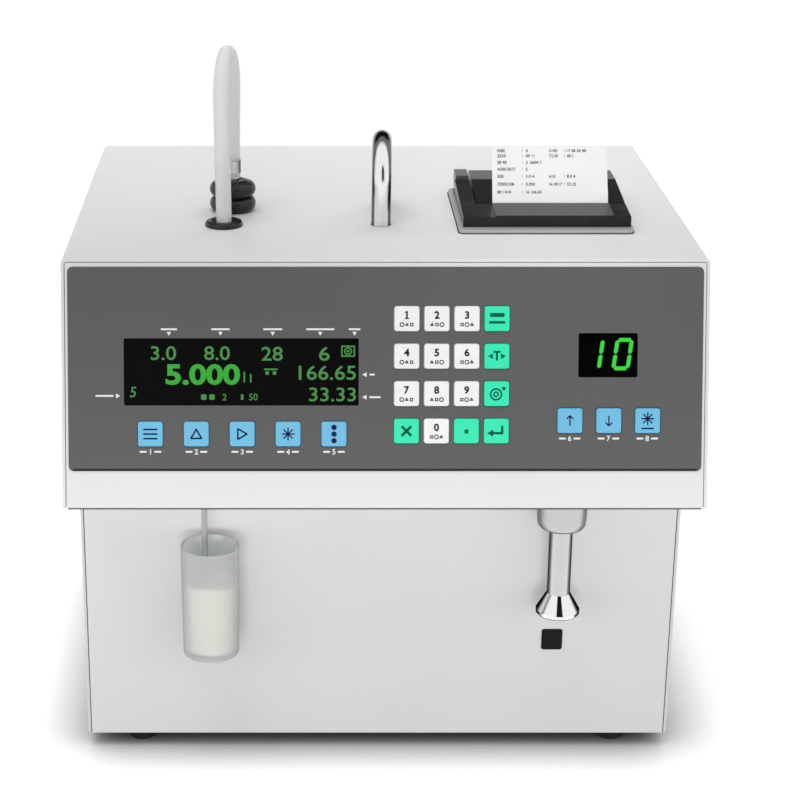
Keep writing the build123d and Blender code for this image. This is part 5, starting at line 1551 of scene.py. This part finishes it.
# %% [markdown]
# The upper part of the strip bows a little across its width and its free lower right corner lifts,
# which is done by moving points by a formula once the strip is divided finely enough.

# %% Paper thickness and bow
across_cuts = 15
edge_bow, side_pull, corner_curl = 0.5 * mm, 0.6 * mm, 1.1 * mm
curl_start, curl_height = 0.86, 0.1
with shaping(strip):
    bpy.ops.mesh.select_mode(type="EDGE")
    pick(strip, "EDGE", lambda edge: abs(edge.verts[0].co.x - edge.verts[1].co.x) > paper_w / 2)
    bpy.ops.mesh.subdivide(number_cuts=across_cuts)
free_length = strip_high.z - lean_top
for corner in strip.data.vertices:
    height_share = max(0, (corner.co.z - lean_top) / free_length)
    across_share = (corner.co.x - paper_x) / (paper_w / 2)
    corner.co.y += edge_bow * height_share * across_share**4
    corner.co.x -= side_pull * height_share**2 * max(0, across_share)
    near_side = max(0, across_share - curl_start) / (1 - curl_start)
    near_foot = max(0, 1 - abs(height_share - curl_height) / (1 - curl_start))
    corner.co.y -= corner_curl * near_side * near_foot
apply(strip, "SOLIDIFY", thickness=strip_t, offset=0)
smooth(strip)
fit(strip, "receipt_strip", "lid", "paper_white", receipt_paper, "paper_strip")

# %% [markdown]
# Seven rows of plain figures are printed on the strip's flat middle. Every row has a label, a colon
# and a value, and four of them have a second group. The print is laid on the paper's lean.

# %% Rows of the receipt
first_columns = (-25.9, -13.6, -11.9)
second_columns = (-0.4, 7.2, 8.3)
print_rows = (
    (24.6, ("1042", "4"), ("3105", "17 08 26 40")),
    (22.0, ("2210", "09 11"), ("72.50", "40.1")),
    (18.8, ("30 45", "2  6604 1"), None),
    (15.4, ("4100 5017", "5"), None),
    (11.9, ("520", "3.0 4"), ("610", " 8.0 4")),
    (8.0, ("73002108", " 5.000"), ("16 0017", "33.33")),
    (4.1, ("80 1410", "16 166.65"), None),
)

# %% Kinds of print on the receipt
row_height = 1.55


def from_left(text, left, up):
    """Figures that start at a place on the left."""
    mark = figures(text, 0, 0, row_height, None, 0.02)
    set_down(mark, Matrix.Translation(((left + mark.dimensions.x / mm / 2) * mm, up * mm, 0)))
    return mark


def colon(left, up):
    """Two square dots, one over the other."""
    dot, half_gap = 0.35, 0.4
    return [bar(left, up + side * half_gap, dot, dot) for side in (-1, 1)]


def printed_group(texts, columns, up):
    """A label, its colon and a value at the three columns of one group."""
    label_left, colon_left, value_left = columns
    marks = [from_left(texts[0], label_left, up), from_left(texts[1], value_left, up)]
    return marks + colon(colon_left, up)

# %% Receipt print
row_marks = []
for up, first, second in print_rows:
    row_marks += printed_group(first, first_columns, up)
    if second:
        row_marks += printed_group(second, second_columns, up)
print_zero = Vector((paper_x, nip_y + lean_r * (1 - cos(paper_lean)), lean_top))
paper_front = Matrix((face_right, Vector((0, sin(paper_lean), cos(paper_lean))),
                      Vector((0, -cos(paper_lean), sin(paper_lean))))).transposed().to_4x4()
print_lift = Matrix.Translation((0, 0, strip_t / 2 + mark_lift))
print_place = Matrix.Translation(print_zero) @ paper_front @ print_lift
stamp("receipt_print", row_marks, print_place, "lid", "paper_white", receipt_ink)

# %% [markdown]
# The feet are rubber buttons with a rounded lower edge and a sunk middle for their screw. One is
# turned and copied to the four places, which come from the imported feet's box.

# %% Feet
feet_low, feet_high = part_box("feet")
foot_out = 7.4 * mm
foot_top = feet_high.z
foot = turned((0, 0), [
    (2.2 * mm, 3 * mm),
    (2.4 * mm, 0.3 * mm),
    (2.8 * mm, 0),
    (foot_out - 1.8 * mm, 0),
    (foot_out - 0.9 * mm, 0.25 * mm),
    (foot_out - 0.4 * mm, 1 * mm),
    (foot_out, foot_top - 1 * mm),
    (foot_out - 0.2 * mm, foot_top),
], 40)
smooth(foot)
foot_gap = (feet_high.x - feet_low.x) / 2 - 120.5 * mm
four_feet = []
for x in (feet_low.x + foot_gap, feet_high.x - foot_gap):
    for y in (feet_low.y + foot_gap, feet_high.y - foot_gap):
        one = foot.copy()
        one.data = foot.data.copy()
        bpy.context.scene.collection.objects.link(one)
        set_down(one, Matrix.Translation((x, y, 0)))
        four_feet.append(one)
bpy.data.objects.remove(foot)
fit(join(four_feet), "rubber_feet", "case", "black_rubber", foot_rubber, "feet")

# %% [markdown]
# The rear fittings are mouldings with crisp but rounded edges, and the rocker is the only one that
# moves. Both are softened copies.

# %% Rear fittings
rear_sockets = softened("rear_fittings", 0.25 * mm)
fit(rear_sockets, "rear_sockets", "case", "black_plastic", socket_black, "rear_fittings")
rocker_cap = softened("power_rocker", 0.3 * mm)
fit(rocker_cap, "rocker_cap", "rocker", "black_plastic", printer_black, "power_rocker")

# %% [markdown]
# The two data sockets get nine contacts each, in a row of five over a row of four. They are copies
# of one rounded pin, turned so that they point out of the rear panel.

# %% Contacts of the data sockets
socket_places = (5.88, -88.2)
socket_z = 40 * mm
pin_rows = ((5, 1.4), (4, -1.4))
pin_pitch = 2.77
pin_r, pin_length = 0.45 * mm, 3.2 * mm
pin_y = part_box("rear_fittings")[1].y - 2.6 * mm
pin_turn = Matrix.Rotation(radians(90), 4, "X")
bpy.ops.mesh.primitive_cylinder_add(vertices=10, radius=pin_r, depth=pin_length)
pin_model = bpy.context.active_object
round_edges(pin_model, 0.15 * mm, 1)
pins = []
for socket_x in socket_places:
    for count, up in pin_rows:
        for index in range(count):
            pin = pin_model.copy()
            pin.data = pin_model.data.copy()
            bpy.context.scene.collection.objects.link(pin)
            x = (socket_x + (index - (count - 1) / 2) * pin_pitch) * mm
            set_down(pin, Matrix.Translation((x, pin_y, socket_z + up * mm)) @ pin_turn)
            pins.append(pin)
bpy.data.objects.remove(pin_model)
print("contacts", len(pins))
fit(join(pins), "socket_contacts", "case", "steel", contact_gold)

# %% [markdown]
# Screws hold the sheets. On the hood's sides they are sunk flush, and on the rear panel their heads
# stand proud. Both are turned from the same profile, with another rise and the same deep socket.

# %% Screws
screw_r = 2.6 * mm
flush_rise, proud_rise = 0.03 * mm, 0.5 * mm
side_screws_y = (-70 * mm, 20 * mm, 110 * mm)
side_screw_up = 9 * mm
rear_screws_x = (-139 * mm, 0, 139 * mm)
rear_screws_z = (20 * mm, 250 * mm)


def screw(rise, place):
    """A screw whose head stands this far proud of the sheet, with a socket for the key."""
    piece = turned((0, 0), [
        (1.2 * mm, -1.2 * mm),
        (screw_r - 0.3 * mm, 0.05 * rise),
        (screw_r, 0.25 * rise),
        (screw_r - 0.4 * mm, 0.7 * rise),
        (1.4 * mm, rise),
        (0.9 * mm, rise),
        (0.5 * mm, -0.3 * mm),
    ], 24)
    smooth(piece)
    set_down(piece, place)
    return piece


hood_low, hood_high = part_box("hood")
rear_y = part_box("rear_panel")[1].y
screws = []
for side in (-1, 1):
    turn = Matrix.Rotation(radians(90) * side, 4, "Y")
    for y in side_screws_y:
        spot = Matrix.Translation((side * hood_high.x, y, hood_low.z + side_screw_up))
        screws.append(screw(flush_rise, spot @ turn))
turn = Matrix.Rotation(radians(-90), 4, "X")
for x in rear_screws_x:
    for z in rear_screws_z:
        screws.append(screw(proud_rise, Matrix.Translation((x, rear_y, z)) @ turn))
print("screws", len(screws))
fit(join(screws), "case_screws", "case", "steel", screw_zinc)

# %% [markdown]
# What is inside shows only through the vents, the slot and an open lid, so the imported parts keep
# their own meshes. Each still gets the finish that the real part has.

# %% Inner parts keep their shape
inner_finishes = {
    "display_module": socket_black,
    "keypad_board": board_mask,
    "main_board": board_mask,
    "cup_rail": brushed_steel,
    "measuring_cell": machined_metal,
    "pump_head": socket_black,
    "pump_rotor": machined_metal,
    "return_manifold": brushed_steel,
    "stirrer_transducer": machined_metal,
    "platen_roller": foot_rubber,
    "print_head": machined_metal,
    "paper_roll": receipt_paper,
}
for node, finish in inner_finishes.items():
    nodes[node].data.materials.clear()
    nodes[node].data.materials.append(finish)
print("inner parts finished:", len(inner_finishes))

# %% [markdown]
# The stage is one pale floor. To the camera and in mirrors it is nearly white and lifted by a little
# glow, and the object's soft shadow stays on it. An Ambient Occlusion node deepens that shadow close
# under the case. For the light that the floor throws back up it is greyer.

# %% Floor
floor_size = 12
floor_lift = 0.42
seen_shade, bounce_shade = 0.95, 0.35
shadow_reach, shadow_power = 0.04, 1.25
bpy.ops.mesh.primitive_plane_add(size=floor_size)
floor = bpy.context.active_object
floor.name = "floor"
floor_white = new_finish("floor_white", (bounce_shade,) * 3, 0.9, Specular_IOR_Level=0.0)
tree = floor_white.node_tree
shader = tree.nodes["Principled BSDF"]
rays = tree.nodes.new("ShaderNodeLightPath")
seen = math_node(tree, "MAXIMUM", rays.outputs["Is Camera Ray"], rays.outputs["Is Glossy Ray"])
seen = math_node(tree, "MAXIMUM", seen, rays.outputs["Is Transmission Ray"])
mix = tree.nodes.new("ShaderNodeMix")
mix.data_type = "RGBA"
mix.inputs[6].default_value = (*(bounce_shade,) * 3, 1)
nearness = tree.nodes.new("ShaderNodeAmbientOcclusion")
nearness.inputs["Distance"].default_value = shadow_reach
openness = math_node(tree, "POWER", nearness.outputs["AO"], shadow_power)
shaded = tree.nodes.new("ShaderNodeMix")
shaded.data_type = "RGBA"
shaded.inputs[6].default_value = (0, 0, 0, 1)
shaded.inputs[7].default_value = (*(seen_shade,) * 3, 1)
tree.links.new(openness, shaded.inputs[0])
tree.links.new(shaded.outputs[2], mix.inputs[7])
tree.links.new(seen, mix.inputs[0])
tree.links.new(mix.outputs[2], shader.inputs["Base Color"])
seen_glow = math_node(tree, "MULTIPLY", seen, floor_lift)
glow = math_node(tree, "MULTIPLY", seen_glow, openness)
shader.inputs["Emission Color"].default_value = (1, 1, 1, 1)
tree.links.new(glow, shader.inputs["Emission Strength"])
floor.data.materials.append(floor_white)
print("floor", floor_size, "m wide")

# %% [markdown]
# The world is an even pale studio, white where the camera and mirrors see it and dimmer where it
# lights the object.

# %% World
world_light = 0.34
world = bpy.data.worlds.new("studio")
bpy.context.scene.world = world
world.use_nodes = True
tree = world.node_tree
seen_sky = tree.nodes["Background"]
seen_sky.inputs["Color"].default_value = (1, 1, 1, 1)
lit_sky = tree.nodes.new("ShaderNodeBackground")
lit_sky.inputs["Strength"].default_value = world_light
lit_sky.inputs["Color"].default_value = (1, 1, 1, 1)
rays = tree.nodes.new("ShaderNodeLightPath")
seen = math_node(tree, "MAXIMUM", rays.outputs["Is Camera Ray"], rays.outputs["Is Glossy Ray"])
seen = math_node(tree, "MAXIMUM", seen, rays.outputs["Is Transmission Ray"])
mix = tree.nodes.new("ShaderNodeMixShader")
tree.links.new(seen, mix.inputs["Fac"])
tree.links.new(lit_sky.outputs[0], mix.inputs[1])
tree.links.new(seen_sky.outputs[0], mix.inputs[2])
tree.links.new(mix.outputs[0], tree.nodes["World Output"].inputs["Surface"])
print("world lights with", world_light)

# %% [markdown]
# Two broad suns add direction, one from above and one low in front. A strip lamp brightens the panel
# under the head from its top down, a lamp behind brightens the hood towards its rear edge, and a
# spot with a soft rim picks out the printer. No lamp shows in the picture or in a mirror.

# %% Kinds of lamps
def add_sun(name, turn, elevation, strength, softness):
    """A sun that shines from a direction: turn 0 is from the front, and softness is its angle."""
    bpy.ops.object.light_add(type="SUN", rotation=(radians(90 - elevation), 0, radians(turn)))
    sun = bpy.context.active_object
    sun.name = name
    sun.data.energy = strength
    sun.data.angle = radians(softness)
    sun.visible_glossy = False


def add_panel_lamp(name, place, faces, width, height, power):
    """A rectangular lamp that lights, and that neither the camera nor a mirror sees."""
    bpy.ops.object.light_add(type="AREA", location=place)
    lamp = bpy.context.active_object
    lamp.name = name
    lamp.data.shape = "RECTANGLE"
    lamp.data.size, lamp.data.size_y = width, height
    lamp.data.energy = power
    lamp.rotation_euler = (faces - place).to_track_quat("-Z", "Y").to_euler()
    lamp.visible_camera = False
    lamp.visible_glossy = False


def add_spot(name, place, faces, beam, power, softness):
    """A spot lamp whose beam fades to its rim."""
    bpy.ops.object.light_add(type="SPOT", location=place)
    spot = bpy.context.active_object
    spot.name = name
    spot.rotation_euler = (faces - place).to_track_quat("-Z", "Y").to_euler()
    spot.data.energy = power
    spot.data.spot_size = radians(beam)
    spot.data.spot_blend = 1
    spot.data.shadow_soft_size = softness
    spot.visible_glossy = False


# %% Five lamps
add_sun("top_sun", turn=-35, elevation=72, strength=0.85, softness=35)
add_sun("front_sun", turn=-3, elevation=9, strength=0.86, softness=20)
add_panel_lamp("low_strip", Vector((0, -0.27, 0.143)), Vector((0, 0, 0.143)),
               width=1.2, height=0.05, power=0.38)
add_panel_lamp("rear_panel_lamp", Vector((0, 0.3, 0.71)), Vector((0, 0.05, 0.26)),
               width=0.8, height=0.3, power=1.45)
add_spot("printer_spot", Vector((-0.04, -1.15, 0.72)), Vector((0.084, -0.005, 0.28)),
         beam=9, power=19, softness=0.08)

# %% [markdown]
# Polished metal in an all white studio looks like white paint. Photographers hang black backdrops
# outside the picture, and the metal mirrors them as dark streaks. These are seen by mirrors only:
# they throw no shadow and the camera never sees them. One hangs behind and two in front.

# %% Dark backdrops for the metal
backdrop_black = new_finish("backdrop_black", (0.02, 0.02, 0.02), 0.9, Specular_IOR_Level=0.0)


def add_backdrop(name, place, faces, width, height):
    """A dark backdrop at a place, turned towards a spot, that only mirrors show."""
    bpy.ops.mesh.primitive_plane_add(size=1, location=place)
    backdrop = bpy.context.active_object
    backdrop.name = name
    backdrop.scale = (width, height, 1)
    backdrop.rotation_euler = (faces - place).to_track_quat("Z", "Y").to_euler()
    backdrop.data.materials.append(backdrop_black)
    backdrop.visible_camera = False
    backdrop.visible_diffuse = False
    backdrop.visible_shadow = False
    backdrop.visible_transmission = False


add_backdrop("backdrop_behind", Vector((0, 1.6, 1.48)), Vector((0, 0, 1.48)),
             width=3, height=1.44)
add_backdrop("backdrop_front_right", Vector((0.07, -0.45, 0.5)), Vector((0.086, -0.12, 0.09)),
             width=0.13, height=0.2)
add_backdrop("backdrop_front_middle", Vector((0.12, -0.5, 0.42)), Vector((0, -0.04, 0.29)),
             width=0.26, height=0.3)
print("dark backdrops", 3)

# %% [markdown]
# Colours are shown as they are, with the Standard view.

# %% Colour view
bpy.context.scene.view_settings.view_transform = "Standard"
bpy.context.view_layer.update()
